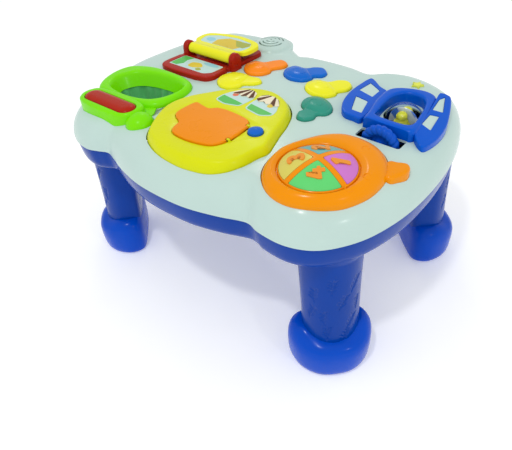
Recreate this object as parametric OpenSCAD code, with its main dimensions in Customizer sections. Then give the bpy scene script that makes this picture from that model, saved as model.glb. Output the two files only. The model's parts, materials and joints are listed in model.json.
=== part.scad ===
// Musical activity table for a toddler: a rounded white top on a blue tray
// and four boot-shaped legs, carrying a ball hoop, a play house with a flap
// door, a flip book, five musical keys, a spinning ball with a ribbed wheel,
// a shuttered window frame and a round pad with four numbered press keys.
// Millimetres, Z up. The floor is z = 0, the child sits on the -Y side.

/* [Body] */
// height of the flat play surface above the floor
top_z = 264; // [240:1:290]
// height of the joint line between white top and blue tray
part_z = 221; // [200:1:240]
// height of the underside of the tray
tray_z = 184; // [160:1:200]
// wall thickness of the white top
wall = 3; // [2:0.5:5]
// overall length of the top
body_len = 511; // [480:1:540]

/* [Legs] */
// distance of the legs from the middle, left to right
leg_x = 197; // [180:1:210]
// distance of the two child-side legs from the middle
leg_front = 114; // [100:1:125]
// distance of the two far legs from the middle
leg_back = 141; // [125:1:150]
// radius of a leg column at its foot
col_r = 35; // [28:1:38]
// height of the boot at the bottom of each leg
boot_h = 62; // [50:1:75]

/* [Controls] */
// travel of the press keys
travel = 2.5; // [1.5:0.5:3.5]
// running gap around every moving piece
gap = 0.5; // [0.3:0.1:1]
// radius of the numbered disc
disc_r = 45; // [40:1:48]
// rise of the domed numbered disc
disc_rise = 14; // [8:1:16]
// radius of the clear spinning ball
ball_r = 25; // [22:1:26]
// outer radius of the ribbed wheel
wheel_r = 25; // [22:1:27]

/* [Hidden] */
$fn = 48;
hx = body_len / 511;
shell_c  = [0.80, 0.89, 0.87];
blue_c   = [0.02, 0.24, 0.72];
lime_c   = [0.45, 0.85, 0.03];
yellow_c = [0.90, 0.88, 0.10];
orange_c = [0.96, 0.55, 0.02];
red_c    = [0.70, 0.10, 0.06];
teal_c   = [0.18, 0.55, 0.47];
metal_c  = [0.70, 0.71, 0.73];
dark_c   = [0.10, 0.11, 0.12];
green_pcb = [0.05, 0.32, 0.16];

// ---- outlines -------------------------------------------------------------
// closed smooth curve through a few points
function cr(a, b, c, d, t) = 0.5 * (2*b + (c-a)*t + (2*a-5*b+4*c-d)*t*t + (3*b-a-3*c+d)*t*t*t);
function smooth(P, n) = let (L = len(P)) [for (i = [0:L-1]) for (j = [0:n-1])
    cr(P[(i-1+L)%L], P[i], P[(i+1)%L], P[(i+2)%L], j/n)];
// the same curve pulled inwards by d along its normal
function inset(P, d) = let (L = len(P)) [for (i = [0:L-1])
    let (v = P[(i+1)%L] - P[(i-1+L)%L], m = norm(v)) P[i] - d * [v[1], -v[0]] / m];
function rev(P) = [for (i = [len(P)-1:-1:0]) P[i]];
function scaled(P, sx, sy) = [for (p = P) [p[0]*sx, p[1]*sy]];
function moved(P, v) = [for (p = P) p + v];
function turned(P, a) = [for (p = P) [p[0]*cos(a) - p[1]*sin(a), p[0]*sin(a) + p[1]*cos(a)]];
function mirx(P) = let (L = len(P)) [for (i = [0:L-1]) [-P[L-1-i][0], P[L-1-i][1]]];
function miry(P) = let (L = len(P)) [for (i = [0:L-1]) [P[L-1-i][0], -P[L-1-i][1]]];
function mid(P) = let (L = len(P)) [for (k = [0,1]) [for (i = [0:L-1]) P[i][k]] * [for (i = [0:L-1]) 1] / L];
// counter-clockwise stadium of length l and width w
function stadium(l, w, n) = concat(
    [for (i = [0:n]) [l/2 - w/2 + w/2*cos(-90 + 180*i/n), w/2*sin(-90 + 180*i/n)]],
    [for (i = [0:n]) [-l/2 + w/2 + w/2*cos(90 + 180*i/n), w/2*sin(90 + 180*i/n)]]);

// solid through a stack of rings, each [outline, height], all with the same count
module loft(R) {
  n = len(R[0][0]); m = len(R);
  c0 = mid(R[0][0]); c1 = mid(R[m-1][0]);
  pts = concat([for (r = R) for (p = r[0]) [p[0], p[1], r[1]]],
               [[c0[0], c0[1], R[0][1]], [c1[0], c1[1], R[m-1][1]]]);
  sides = [for (k = [0:m-2]) for (i = [0:n-1]) for (h = [0,1])
      h == 0 ? [k*n+i, (k+1)*n+i, k*n+(i+1)%n] : [(k+1)*n+i, (k+1)*n+(i+1)%n, k*n+(i+1)%n]];
  caps = concat([for (i = [0:n-1]) [m*n, i, (i+1)%n]],
                [for (i = [0:n-1]) [m*n+1, (m-1)*n+(i+1)%n, (m-1)*n+i]]);
  polyhedron(points = pts, faces = concat(sides, caps));
}
// upright pad with a rounded upper edge: radius e, bottom z0, top z1
module pad(P, z0, z1, e, k = 3) {
  loft(concat([[P, z0]], [for (i = [0:k]) [inset(P, e*(1-cos(90*i/k))), z1 - e + e*sin(90*i/k)]]));
}
// low dome over an outline: straight wall to z1, then rising by h while drawn in by d
module dome_pad(P, z0, z1, h, d, k = 4) {
  loft(concat([[P, z0]], [for (i = [0:k]) [inset(P, d*(1-cos(80*i/k))), z1 + h*sin(80*i/k)/sin(80)]]));
}
module block(P, z0, z1) translate([0, 0, z0]) linear_extrude(z1 - z0) polygon(P);

// ---- the big outline ------------------------------------------------------
BODY = [[0,-192],[40,-189.5],[80,-180],[106,-171],[119,-169],[136,-174],[168,-175],[197,-165],[219,-144],
  [238,-110],[251,-60],[255,-5],[252,50],[243,95],[229,134],[208,165],[180,182],[150,188],[124,181],
  [106,166],[94,161],[80,162],[60,166],[20,167],[-16,164],[-34,158],[-50,166],[-72,179],[-105,187],[-140,189],[-172,185],
  [-198,177],[-216,155],[-230,124],[-242,88],[-250,45],[-255,0],[-251,-50],[-242,-98],[-229,-134],
  [-210,-159],[-186,-172],[-160,-176],[-142,-171],[-127,-166],[-110,-171],[-82,-181],[-42,-190]];
body = scaled(smooth(BODY, 2), hx, 1);
dome_h = top_z - part_z;
// rounded-over white top as a solid, pulled in by w on every side
module top_solid(w, zb) {
  B = w == 0 ? body : inset(body, w);
  loft(concat([[B, zb]], [for (i = [0:8]) let (t = 90*i/8)
    [scaled(B, 1 - 0.15*(1-cos(t)), 1 - 0.20*(1-cos(t))), part_z + (dome_h - w)*sin(t)]]));
}
module tray_solid(w) {
  loft([[inset(body, 22+w), tray_z + w], [inset(body, 12+w), tray_z + 1.5 + w], [inset(body, 6.5+w), tray_z + 6 + w],
        [inset(body, 4+w), tray_z + 13 + w], [inset(body, 2+w), part_z - 0.2]]);
}

// ---- feature outlines -----------------------------------------------------
HOOP_O = smooth([[-222,-70],[-214,-94],[-198,-108],[-160,-112],[-122,-110],[-95,-97],[-87,-75],[-87,-48],[-94,-30],[-107,-21],[-133,-16],[-178,-17],[-210,-30],[-221,-47]], 3);
HOOP_I = smooth([[-202,-68],[-199,-84],[-188,-96],[-158,-101],[-130,-98],[-110,-89],[-99,-72],[-96,-50],[-104,-36],[-130,-30],[-165,-34],[-190,-46]], 3);
PLATE = smooth([[-199,-132],[-196,-141],[-188,-148],[-162,-152],[-122,-151],[-101,-145],[-94,-131],[-98,-114],[-120,-108],[-160,-108],[-188,-112],[-197,-122]], 3);
// web that joins the hoop and the plate of the bar
WEB = [[-188,-102],[-188,-116],[-92,-122],[-84,-122],[-86,-110],[-94,-98],[-120,-105]];
bar_c = [-145, -131.5];
PANEL = smooth([[14,-168],[41,-165],[60,-159],[75,-148],[83,-133],[87,-113],[91,-99],[87,-84],[80,-62],[74,-40],[62,-14],[42,4],[14,12],[-15,4],[-40,-15],
  [-57,-36],[-71,-56],[-79,-77],[-79,-98],[-71,-120],[-59,-142],[-46,-155],[-20,-165]], 3);
DOOR = rev(smooth([[-18,-139],[-27,-131],[-31,-117],[-44,-109],[-50,-100],[-49,-78],[-45,-69],[-33,-71],[-21,-72],[-12,-65],[6,-63],
  [34,-66],[44.5,-73],[49,-85],[49.5,-106],[44,-126],[32,-136],[6,-141]], 2));
DOORWAY = [[-20,-131],[28,-131],[38,-118],[38,-76],[-37,-76],[-37,-106],[-22,-108]];
WIN_L = [[-33,-48],[-16,-52],[6,-46],[10,-20],[4,-6],[-6,-4],[-18,-10],[-27,-20],[-33,-34]];
WIN_R = [[15,-46],[42,-51],[56,-42],[54,-30],[46,-16],[36,-7],[24,-4],[15,-12],[13,-30]];
door_hx = 47.4; door_hz = 274.6; door_y = -98;
btn_c = [62.6, -82.5];
// musical keys: a round belly with a neck
K_ORANGE = smooth([[-76,65],[-67,51],[-51,44],[-36,51],[-30,63],[-32,73],[-22,87],[-24,99],[-37,105],[-47,98],[-56,86],[-71,81]], 3);
K_LEMON  = smooth([[-82,20],[-78,4],[-63,-6],[-48,-4],[-39,7],[-38,15],[-26,23],[-21,33],[-30,41],[-44,39],[-56,41],[-73,37]], 3);
K_BLUE   = smooth([[-17,83],[-9,69],[7,62],[24,66],[32,76],[31,85],[41,93],[40,105],[28,114],[15,109],[7,101],[-11,99]], 3);
K_YELLOW = smooth([[33,65],[41,50],[57,42],[75,44],[84,56],[83,65],[91,76],[90,89],[79,98],[66,94],[57,83],[41,80]], 3);
K_TEAL   = smooth([[58,32],[57,20],[63,10],[71,4],[69,-6],[76,-18],[87,-18],[94,-9],[93,1],[102,8],[103,20],[95,32],[81,40],[67,40]], 3);
// window frame and its open shutters
FRAME_O = rev(smooth([[143,55],[142,83],[150,97],[169,106],[189,108],[203,100],[208,78],[213,48],[217,20],[214,10],[200,8],[180,8],[160,7],[152,11],[149,28]], 3));
FRAME_I = rev(smooth([[162,24],[158,38],[156,58],[158,77],[166,89],[181,92],[194,86],[201,70],[205,48],[207,30],[202,22],[184,21]], 3));
SHUT_L = smooth([[105,114],[100,90],[100,65],[105,42],[114,24],[124,16],[136,15],[147,16],[147,45],[143,88],[126,100]], 3);
SHUT_R = smooth([[203,104],[207,80],[211,48],[211,26],[218,12],[228,4],[234,8],[237,33],[235,60],[227,88],[217,112],[210,114],[204,110]], 3);
PANES = [[[108,76],[111,101],[132,88],[132,68]], [[113,60],[133,56],[141,26],[126,27]],
         [[211,70],[208,96],[211,107],[222,78]], [[214,36],[213,60],[222,68],[226,36]]];
axle_x = 182; axle_z = 255.5; ball_y = 59;
// round pad with the four numbered keys
HOUSE_O = smooth([[99,-95],[103,-118],[112,-136],[127,-150],[145,-156.5],[164,-156],[183,-149],[199,-138],[212,-123],[222,-102],[226,-82],[225,-62],[216,-42],[198,-25],[174,-17],[146,-19],[124,-35],[108,-60],[100,-80]], 3);
TAB = rev(smooth([[212,-38],[222,-33],[231,-30],[237,-34],[239,-43],[235,-55],[228,-66],[212,-62]], 3));
disc_c = [160, -96.5];
rim_z = 270;
disc_R = (disc_r*disc_r + disc_rise*disc_rise) / (2*disc_rise);
disc_cz = rim_z + disc_rise - disc_R;
cross_turn = -17;
num_tilt = asin(24/disc_R);
num_turn = 130;
spk_c = [-88, 143];
star_c = [160, 139];
STAR = [for (i = [0:9]) (i % 2 == 0 ? 9 : 4.6) * [cos(36*i + 90), sin(36*i + 90)] + star_c];

module shutter_slope(d) translate([213, 0, 276 + d]) rotate([0, 23, 0]) translate([-60, -10, -60]) cube([120, 200, 60]);

// ---- white top ------------------------------------------------------------
module top_shell() color(shell_c) difference() {
  union() {
    difference() { top_solid(0, part_z); top_solid(wall, part_z - 1); }
    // screw bosses and the two bearings of the spinner axle
    intersection() { top_solid(1.5, part_z); screw_posts(4.4, part_z - 0.6, 263); }
    for (y = [-15, 88]) translate([axle_x - 6, y, 250]) cube([12, 3, 12]);
    // bosses that fill the panes of the shutters
    for (i = [0, 1]) block(inset(rev(PANES[i]), 0.4), 259, 271.2);
    intersection() {
      for (i = [2, 3]) block(inset(rev(PANES[i]), 0.4), 256, 290);
      shutter_slope(-0.8);
    }
    // speaker dome
    translate([spk_c[0], spk_c[1], 0]) intersection() {
      translate([0, 0, 274 - 60]) sphere(r = 60, $fn = 64);
      translate([0, 0, 247]) cylinder(r = 28, h = 39);
    }
  }
  // hollow of the speaker dome and its slots
  translate([spk_c[0], spk_c[1], 0]) {
    intersection() { translate([0, 0, 274 - 60]) sphere(r = 57, $fn = 64); translate([0, 0, 230]) cylinder(r = 24.5, h = 60); }
    for (r = [7.5, 13, 18.5]) for (a = [0, 180]) rotate(a + 20) intersection() {
      difference() { translate([0, 0, 240]) cylinder(r = r + 1.1, h = 60); translate([0, 0, 239]) cylinder(r = r - 1.1, h = 62); }
      translate([-30, 4, 238]) cube([60, 40, 64]);
    }
    translate([0, 0, 240]) cylinder(r = 1.6, h = 60);
  }
  // seats of the raised pieces
  block(inset(HOOP_O, -0.2), 240, 300);
  block(inset(PLATE, -0.2), 246, 300);
  block(WEB, 246.8, 300);
  translate([-88, -133, 246]) cylinder(r = 18.7, h = 60);
  block(inset(PANEL, -3.2), 240, 300);
  block(inset(HOUSE_O, -0.2), 240, 300);
  block(inset(TAB, -0.2), 243.5, 300);
  for (K = [K_ORANGE, K_LEMON, K_BLUE, K_YELLOW, K_TEAL]) block(inset(K, -gap), 240, 300);
  // spinning ball and its wheel
  translate([axle_x, ball_y, axle_z]) sphere(r = ball_r + 1.5, $fn = 64);
  translate([axle_x - 29, -10, 240]) cube([58, 20, 60]);
  block(inset(STAR, -0.2), 262.2, 300);
  for (y = [-16, 87]) translate([axle_x, y, axle_z]) rotate([-90, 0, 0]) cylinder(r = 2.45, h = 5, $fn = 32);
  screw_posts(1.6, part_z - 2, part_z + 12);
  // lugs of the book base
  for (x = [-166, -92], y = [0, 100]) translate([x, y, 240]) cylinder(r = 3.2, h = 60);
}

// ---- blue tray ------------------------------------------------------------
module screw_posts(r, z0, z1) {
  for (p = [[-232,40],[232,-10],[-120,165],[0,150],[150,170],[-30,-165],[60,-165],[-232,-60]]) translate([p[0], p[1], z0]) cylinder(r = r, h = z1 - z0, $fn = 24);
}
module bottom_tray() color(blue_c) difference() {
  union() {
    difference() { tray_solid(0); tray_solid(3); }
    for (s = [[-leg_x-3,-leg_front],[leg_x-3,-leg_front],[-leg_x-3,leg_back],[leg_x-3,leg_back]])
      translate([s[0]*0.965, s[1]*0.965, tray_z + 1]) cylinder(r = 26, h = 26);
    screw_posts(4.5, tray_z + 2, part_z - 1);
    translate([-146, -62, tray_z + 1]) cylinder(r = 38, h = 10);
  }
  for (s = [[-leg_x-3,-leg_front],[leg_x-3,-leg_front],[-leg_x-3,leg_back],[leg_x-3,leg_back]])
    translate([s[0]*0.965, s[1]*0.965, tray_z - 1]) cylinder(r = 22, h = 25);
  screw_posts(1.7, tray_z - 1, part_z + 1);
  screw_posts(3.6, tray_z - 1, tray_z + 3);
  translate([-146, -62, tray_z - 1]) cylinder(r = 35, h = 14);
  // battery bay and switch slot
  translate([-36, -28, tray_z - 1]) cube([72, 56, 5]);
  translate([-110, -4, tray_z - 1]) cube([16, 8, 5]);
}

// ---- legs -----------------------------------------------------------------
BOOT = [[50,0],[46,24],[30,44],[6,54],[-12,51],[-21,40],[-23,14],[-23,-14],[-21,-40],[-12,-51],[6,-54],[30,-44],[46,-24]];
SHAFT = [[1,0],[0.9,0.44],[0.62,0.80],[0.22,1.02],[-0.26,1.0],[-0.56,0.82],[-0.62,0.3],[-0.62,-0.3],[-0.56,-0.82],[-0.26,-1.0],[0.22,-1.02],[0.62,-0.80],[0.9,-0.44]];
// outward facing diagonal of a leg, given the signs of its corner
function diag(sx, sy) = atan2(sy, sx);
module leg_shape(sx, sy, y) {
  a = diag(sx, sy); S = smooth(SHAFT, 3); c = [sx*leg_x - 3, sy*y];
  difference() {
    union() {
      loft([for (i = [0:6]) let (t = i/6, z = boot_h - 4 + (tray_z - 0.4 - boot_h + 4)*t)
        [moved(turned(scaled(S, col_r + 3*t*t, col_r + 3*t*t), a), c*(1 - 0.035*t)), z]]);
      translate([c[0]*0.965, c[1]*0.965, tray_z - 6]) cylinder(r = 21.6, h = 28);
    }
    translate([c[0]*0.965, c[1]*0.965, tray_z - 20]) cylinder(r = 18.6, h = 60);
    loft([for (i = [0:3]) let (t = i/3, z = boot_h - 5 + (tray_z - 16 - boot_h + 4)*t)
        [moved(turned(scaled(S, col_r - 3 + 3*t*t, col_r - 3 + 3*t*t), a), c*(1 - 0.032*t)), z]]);
  }
}
module boot_shape(sx, sy, y) {
  a = diag(sx, sy); B = smooth(BOOT, 2); c = [sx*leg_x - 3, sy*y];
  R = [[0.91, 0], [0.95, 2], [0.98, 8], [1, 20], [1.01, 36], [1, 47], [0.96, 54], [0.89, 59], [0.8, boot_h - 0.5], [0.72, boot_h]];
  difference() {
    loft([for (r = R) [moved(turned(scaled(B, r[0], r[0]), a), c), r[1]]]);
    translate([0, 0, boot_h - 4.4]) linear_extrude(10) polygon(moved(turned(scaled(smooth(SHAFT, 3), col_r + 0.3, col_r + 0.3), a), c));
  }
}
module leg_front_left() color(blue_c) leg_shape(-1, -1, leg_front);
module leg_front_right() color(blue_c) leg_shape(1, -1, leg_front);
module leg_back_left() color(blue_c) leg_shape(-1, 1, leg_back);
module leg_back_right() color(blue_c) leg_shape(1, 1, leg_back);
module boot_front_left() color(blue_c) boot_shape(-1, -1, leg_front);
module boot_front_right() color(blue_c) boot_shape(1, -1, leg_front);
module boot_back_left() color(blue_c) boot_shape(-1, 1, leg_back);
module boot_back_right() color(blue_c) boot_shape(1, 1, leg_back);
module casing_screws() color(metal_c) { screw_posts(3.3, tray_z + 0.6, tray_z + 2.9); screw_posts(1.5, tray_z + 2, part_z + 0.5); }

// ---- ball hoop ------------------------------------------------------------
module ball_hoop() color(lime_c) {
  difference() {
    union() {
      loft([[HOOP_O, 253], [HOOP_O, 266], [inset(HOOP_O, 1.4), 269.5], [inset(HOOP_O, 5), 272], [inset(HOOP_O, 8), 272.4]]);
      pad(PLATE, 247, 277, 4);
      block(rev(WEB), 247, 266);
      translate([-88, -133, 247]) cylinder(r = 18.5, h = 14);
      intersection() { translate([-88, -133, 261]) sphere(r = 18.5); translate([-114, -158, 260]) cube([60, 60, 17]); }
    }
    // funnel that narrows towards the net
    loft([[inset(HOOP_I, 9), 250], [inset(HOOP_I, 8), 253], [inset(HOOP_I, 3.6), 262], [inset(HOOP_I, 0.8), 268.6], [HOOP_I, 270.4], [HOOP_I, 290]]);
    block(inset(PANEL, -3.6), 240, 290);
    loft([[inset(HOOP_I, -1), 270.4], [inset(HOOP_I, -3.5), 273.5]]);
    // recess of the red bar
    block(moved(stadium(90 + 2*gap, 26 + 2*gap, 8), bar_c), 240, 290);
    block(inset(PLATE, 3), 240, 270);
  }
}
NET_R = [[0.3, 0.38, 205], [0.46, 0.5, 209], [0.6, 0.6, 219], [0.78, 0.72, 236], [0.86, 0.8, 252.4]];
module hoop_net() color([0.2, 0.6, 0.4]) difference() {
  loft([for (r = NET_R) [moved(scaled(moved(HOOP_I, [150, 66]), r[0]*1.05, r[1]*1.05), [-150, -66]), r[2]]]);
  loft([for (r = NET_R) [moved(scaled(moved(HOOP_I, [150, 66]), r[0], r[1]), [-150, -66]), r[2] + (r[2] > 240 ? 0.2 : 1.2)]]);
}
module hoop_bar() color(red_c) {
  dome_pad(moved(stadium(90, 26, 8), bar_c), 271, 275, 5, 7, 4);
  translate([bar_c[0], bar_c[1], 252]) cylinder(r = 4, h = 20);
}

// ---- play house -----------------------------------------------------------
module house_panel() color(yellow_c) difference() {
  union() {
    difference() {
      loft([[inset(PANEL, -3), 251], [inset(PANEL, -3), 257], [inset(PANEL, -1.5), 264], [inset(PANEL, 0.5), 269], [inset(PANEL, 2.6), 272.3], [inset(PANEL, 4.4), 273.6], [inset(PANEL, 6.4), 274]]);
      block(inset(PANEL, 5), 250, 269);
    }
    block(inset(DOORWAY, -3), 262.2, 271);
    // lugs of the flap door's pin
    for (y = [-115.6, -79.4]) translate([door_hx - 2, y, 270]) cube([4.6, 2.8, 6.8]);
  }
  block(DOORWAY, 240, 290);
  translate([btn_c[0], btn_c[1], 240]) cylinder(r = 9.4 + gap, h = 60);
  translate([0, 0, 273]) { block(inset(WIN_L, -0.1), 0, 9); block(inset(WIN_R, -0.1), 0, 9); }
  // recess of the flap door, hinge channel and the pin's bore
  difference() { block(rev(inset(DOOR, -0.8)), 272.2, 290); for (y = [-115.6, -79.4]) translate([door_hx - 2, y, 270]) cube([4.6, 2.8, 6.8]); }
  translate([door_hx - 3, -112.6, 270.6]) cube([6.8, 33, 9]);
  translate([door_hx, -118, door_hz]) rotate([-90, 0, 0]) cylinder(r = 1.02, h = 44, $fn = 32);
}
module house_windows() color([0.72, 0.86, 0.83]) { block(WIN_L, 273.1, 274.3); block(WIN_R, 273.1, 274.3); }
AWN = [[-25,-21],[-20,-24],[-14,-21],[-8,-25],[-2,-21],[4,-24],[9,-19],[6,-9],[-3,-4.5],[-11,-6],[-20,-13]];
AWN_R = [[14,-20],[20,-24],[26,-20],[32,-24],[38,-20],[44,-24],[50,-20],[42,-9],[32,-4],[21,-4],[14,-11]];
module house_awnings() color([0.38, 0.24, 0.1]) { block(AWN, 274.5, 275.6); block(AWN_R, 274.5, 275.6); }
module door_picture() color([0.85, 0.92, 0.9]) block(inset(DOORWAY, -3), 260.4, 262);
module house_door() color(orange_c) difference() {
  union() {
    pad(DOOR, 272.7, 276.2, 1.5, 3);
    translate([door_hx, -112, door_hz]) rotate([-90, 0, 0]) cylinder(r = 2.3, h = 32, $fn = 32);
  }
  translate([door_hx, -130, door_hz]) rotate([-90, 0, 0]) cylinder(r = 1.06, h = 70, $fn = 32);
  for (y = [-117, -80.2]) translate([door_hx - 3.2, y, 268]) cube([9, 5.2, 20]);
}
module door_pin() color(metal_c) translate([door_hx, -116, door_hz]) rotate([-90, 0, 0]) cylinder(r = 1, h = 40, $fn = 32);
module house_button() color([0.05, 0.35, 0.8]) translate([btn_c[0], btn_c[1], 0]) {
  intersection() { translate([0, 0, 259]) sphere(r = 20); translate([0, 0, 268]) cylinder(r = 9.4, h = 20); }
  translate([0, 0, 254]) cylinder(r = 4, h = 15);
}

// ---- flip book ------------------------------------------------------------
book_y = 47; book_z = 280;
module book_base() color(red_c) {
  difference() {
    union() {
      pad([[-180,36],[-184,4],[-181,-5],[-172,-9],[-150,-10.5],[-110,-9],[-92,-5],[-85,4],[-84,36]], 264.1, 271, 2.2);
      // far cover
      pad([[-180,34],[-84,34],[-81,50],[-77,104],[-84,110],[-168,110],[-178,104],[-181,50]], 264.1, 270, 2);
      difference() { translate([-177, 58, 264.1]) cube([97.5, 49, 15.9]); translate([-168, 66, 279.2]) cube([80, 33, 20]); }
    }
    block([[-174,3],[-104,3],[-94,11],[-91,35],[-170,35]], 269.6, 290);
    translate([-166.5, 36, 268.6]) cube([81, 22.4, 30]);
  }
  for (x = [-176.5, -85]) difference() {
    union() {
      translate([x, book_y, book_z]) rotate([0, 90, 0]) cylinder(r = 9.5, h = 9.5);
      translate([x, book_y - 9.5, 264.1]) cube([9.5, 19, 15.9]);
    }
    translate([x - 1, book_y, book_z]) rotate([0, 90, 0]) cylinder(r = 1.55, h = 12, $fn = 24);
  }
  for (x = [-166, -92], y = [0, 100]) translate([x, y, 252]) cylinder(r = 3, h = 14, $fn = 24);
}
module book_picture() color([0.8, 0.88, 0.85]) { translate([-167.8, 66.2, 279.2]) cube([79.6, 32.6, 0.6]); block([[-173.8,3.2],[-104.1,3.2],[-94.2,11.1],[-91.2,34.8],[-169.8,34.8]], 269.7, 270.5); }
module book_pin() color(metal_c) translate([-175, book_y, book_z]) rotate([0, 90, 0]) cylinder(r = 1.5, h = 98, $fn = 24);
module book_page() color(yellow_c) difference() {
  union() {
    translate([-166, book_y, book_z]) rotate([0, 90, 0]) cylinder(r = 7.6, h = 80);
    pad([[-166,47],[-86,47],[-86,58],[-74,61],[-70,76],[-71,92],[-80,100],[-98,104],[-115,106],[-134,104],[-152,98],[-168,92],[-174,80],[-173,64],[-166,58]], 280.6, 286.4, 1.5);
  }
  translate([-167, book_y, book_z]) rotate([0, 90, 0]) cylinder(r = 1.6, h = 82, $fn = 24);
  block([[-162,61],[-82,61],[-78,78],[-84,92],[-115,97],[-150,91],[-166,80]], 285.6, 290);
}
module page_picture() color([0.85, 0.85, 0.4]) block([[-161.8,61.2],[-82.2,61.2],[-78.3,78],[-84.2,91.8],[-115,96.7],[-150,90.7],[-165.7,79.9]], 285.7, 286.2);

// ---- musical keys ---------------------------------------------------------
module key(K, c) color(c) {
  difference() {
    dome_pad(K, 259, 266, 5.5, 8, 4);
    block(inset(K, 3), 258, 262);
  }
  m = mid(K);
  translate([m[0], m[1], 254]) cylinder(r = 3.5, h = 10, $fn = 24);
}
module key_orange() key(K_ORANGE, orange_c);
module key_lemon() key(K_LEMON, yellow_c);
module key_blue() key(K_BLUE, [0.03, 0.32, 0.8]);
module key_yellow() key(K_YELLOW, yellow_c);
module key_teal() key(K_TEAL, teal_c);

// ---- window frame, shutters, spinner --------------------------------------
module window_frame() color([0.03, 0.3, 0.85]) difference() {
  union() {
    pad(FRAME_O, 256, 279, 5, 4);
    pad(SHUT_L, 264.1, 272, 2.4);
    // the right shutter slopes down outwards
    intersection() { block(SHUT_R, 250, 290); shutter_slope(0); }
  }
  block(FRAME_I, 240, 300);
  for (q = PANES) block(q, 240, 300);
  translate([axle_x, ball_y, axle_z]) sphere(r = ball_r + 1.5, $fn = 64);
  translate([axle_x - 30, -12, 240]) cube([60, 22, 60]);
  translate([axle_x, -20, axle_z]) rotate([-90, 0, 0]) cylinder(r = 6, h = 60);
  // underside follows the rounded edge of the top
  top_solid(-0.15, part_z - 5);
}
module star_light() color(yellow_c) pad(STAR, 262.4, 267, 1);
module spin_ball() color([0.85, 0.93, 0.96, 0.35]) difference() {
  translate([axle_x, ball_y, axle_z]) sphere(r = ball_r, $fn = 64);
  translate([axle_x, ball_y, axle_z]) sphere(r = ball_r - 1.6, $fn = 64);
  translate([axle_x, 0, axle_z]) rotate([-90, 0, 0]) cylinder(r = 2.5, h = 90, $fn = 24);
}
module spin_swirl() color([0.35, 0.5, 0.85]) translate([axle_x, ball_y, axle_z]) difference() {
  rotate([-90, 0, 0]) cylinder(r = 20, h = 2, center = true);
  rotate([-90, 0, 0]) cylinder(r = 2.5, h = 90, center = true, $fn = 24);
}
module spin_figure() color([0.9, 0.85, 0.2]) translate([axle_x, ball_y, axle_z]) difference() {
  union() {
    for (s = [-1, 1]) translate([0, s*7, 0]) { translate([0, 0, 11.5]) sphere(r = 6.8, $fn = 32); cylinder(r1 = 12, r2 = 5, h = 11, $fn = 32); }
    translate([-10, -7, -9]) cube([20, 14, 9]);
  }
  translate([-30, -1.2, -30]) cube([60, 2.4, 60]);
  rotate([-90, 0, 0]) cylinder(r = 2.5, h = 90, center = true, $fn = 24);
}
module spin_axle() color(metal_c) translate([axle_x, -14.6, axle_z]) rotate([-90, 0, 0]) cylinder(r = 2.4, h = 105.2, $fn = 32);
module spin_wheel() color([0.05, 0.25, 0.75]) translate([axle_x, 0, axle_z]) rotate([-90, 0, 0]) difference() {
  union() {
    rotate_extrude($fn = 64) translate([wheel_r - 6.5, 0]) circle(r = 5.7, $fn = 24);
    for (i = [0:19]) rotate(18*i) translate([wheel_r - 6.5, 0, 0]) rotate([90, 0, 0]) cylinder(r = 6.4, h = 2, center = true, $fn = 24);
    cylinder(r = wheel_r - 8, h = 3, center = true);
    cylinder(r = 6, h = 12, center = true);
  }
  cylinder(r = 2.5, h = 40, center = true, $fn = 24);
}

// ---- numbered pad ---------------------------------------------------------
module disc_cap(r, z0) translate([disc_c[0], disc_c[1], 0]) intersection() {
  translate([0, 0, disc_cz]) sphere(r = disc_R, $fn = 96);
  translate([0, 0, z0]) cylinder(r = r, h = 60, $fn = 64);
}
module quadrant(q, w, z0) translate([disc_c[0], disc_c[1], z0]) rotate(cross_turn + 90*q) translate([w, w, 0]) cube([60, 60, 60]);
module pad_housing() color(orange_c) difference() {
  union() {
    loft([[HOUSE_O, 250], [HOUSE_O, 260], [inset(HOUSE_O, 0.8), 264], [inset(HOUSE_O, 3), 268], [inset(HOUSE_O, 7), 271.5], [inset(HOUSE_O, 12), 273.5], [inset(HOUSE_O, 16), 274]]);
    pad(TAB, 244, 266.5, 4);
    disc_cap(disc_r - 0.5, 262);
  }
  // gap ring around the disc, and the four windows of the press keys
  translate([disc_c[0], disc_c[1], 268]) difference() { union() { cylinder(r = disc_r + 1, h = 30, $fn = 64); translate([0, 0, 2.8]) cylinder(r1 = disc_r + 1, r2 = disc_r + 9, h = 3.4, $fn = 64); } translate([0, 0, -1]) cylinder(r = disc_r - 0.6, h = 32, $fn = 64); }
  translate([disc_c[0], disc_c[1], 0]) for (q = [0:3]) intersection() {
    translate([0, 0, 240]) cylinder(r = disc_r - 2.4 + gap, h = 60, $fn = 64);
    rotate(cross_turn + 90*q) translate([3.6 - gap, 3.6 - gap, 240]) cube([60, 60, 60]);
  }
  translate([0, 0, 0]) difference() { block(inset(HOUSE_O, 3.5), 240, 263); translate([disc_c[0], disc_c[1], 239]) cylinder(r = disc_r + 6, h = 40); }
}
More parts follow.
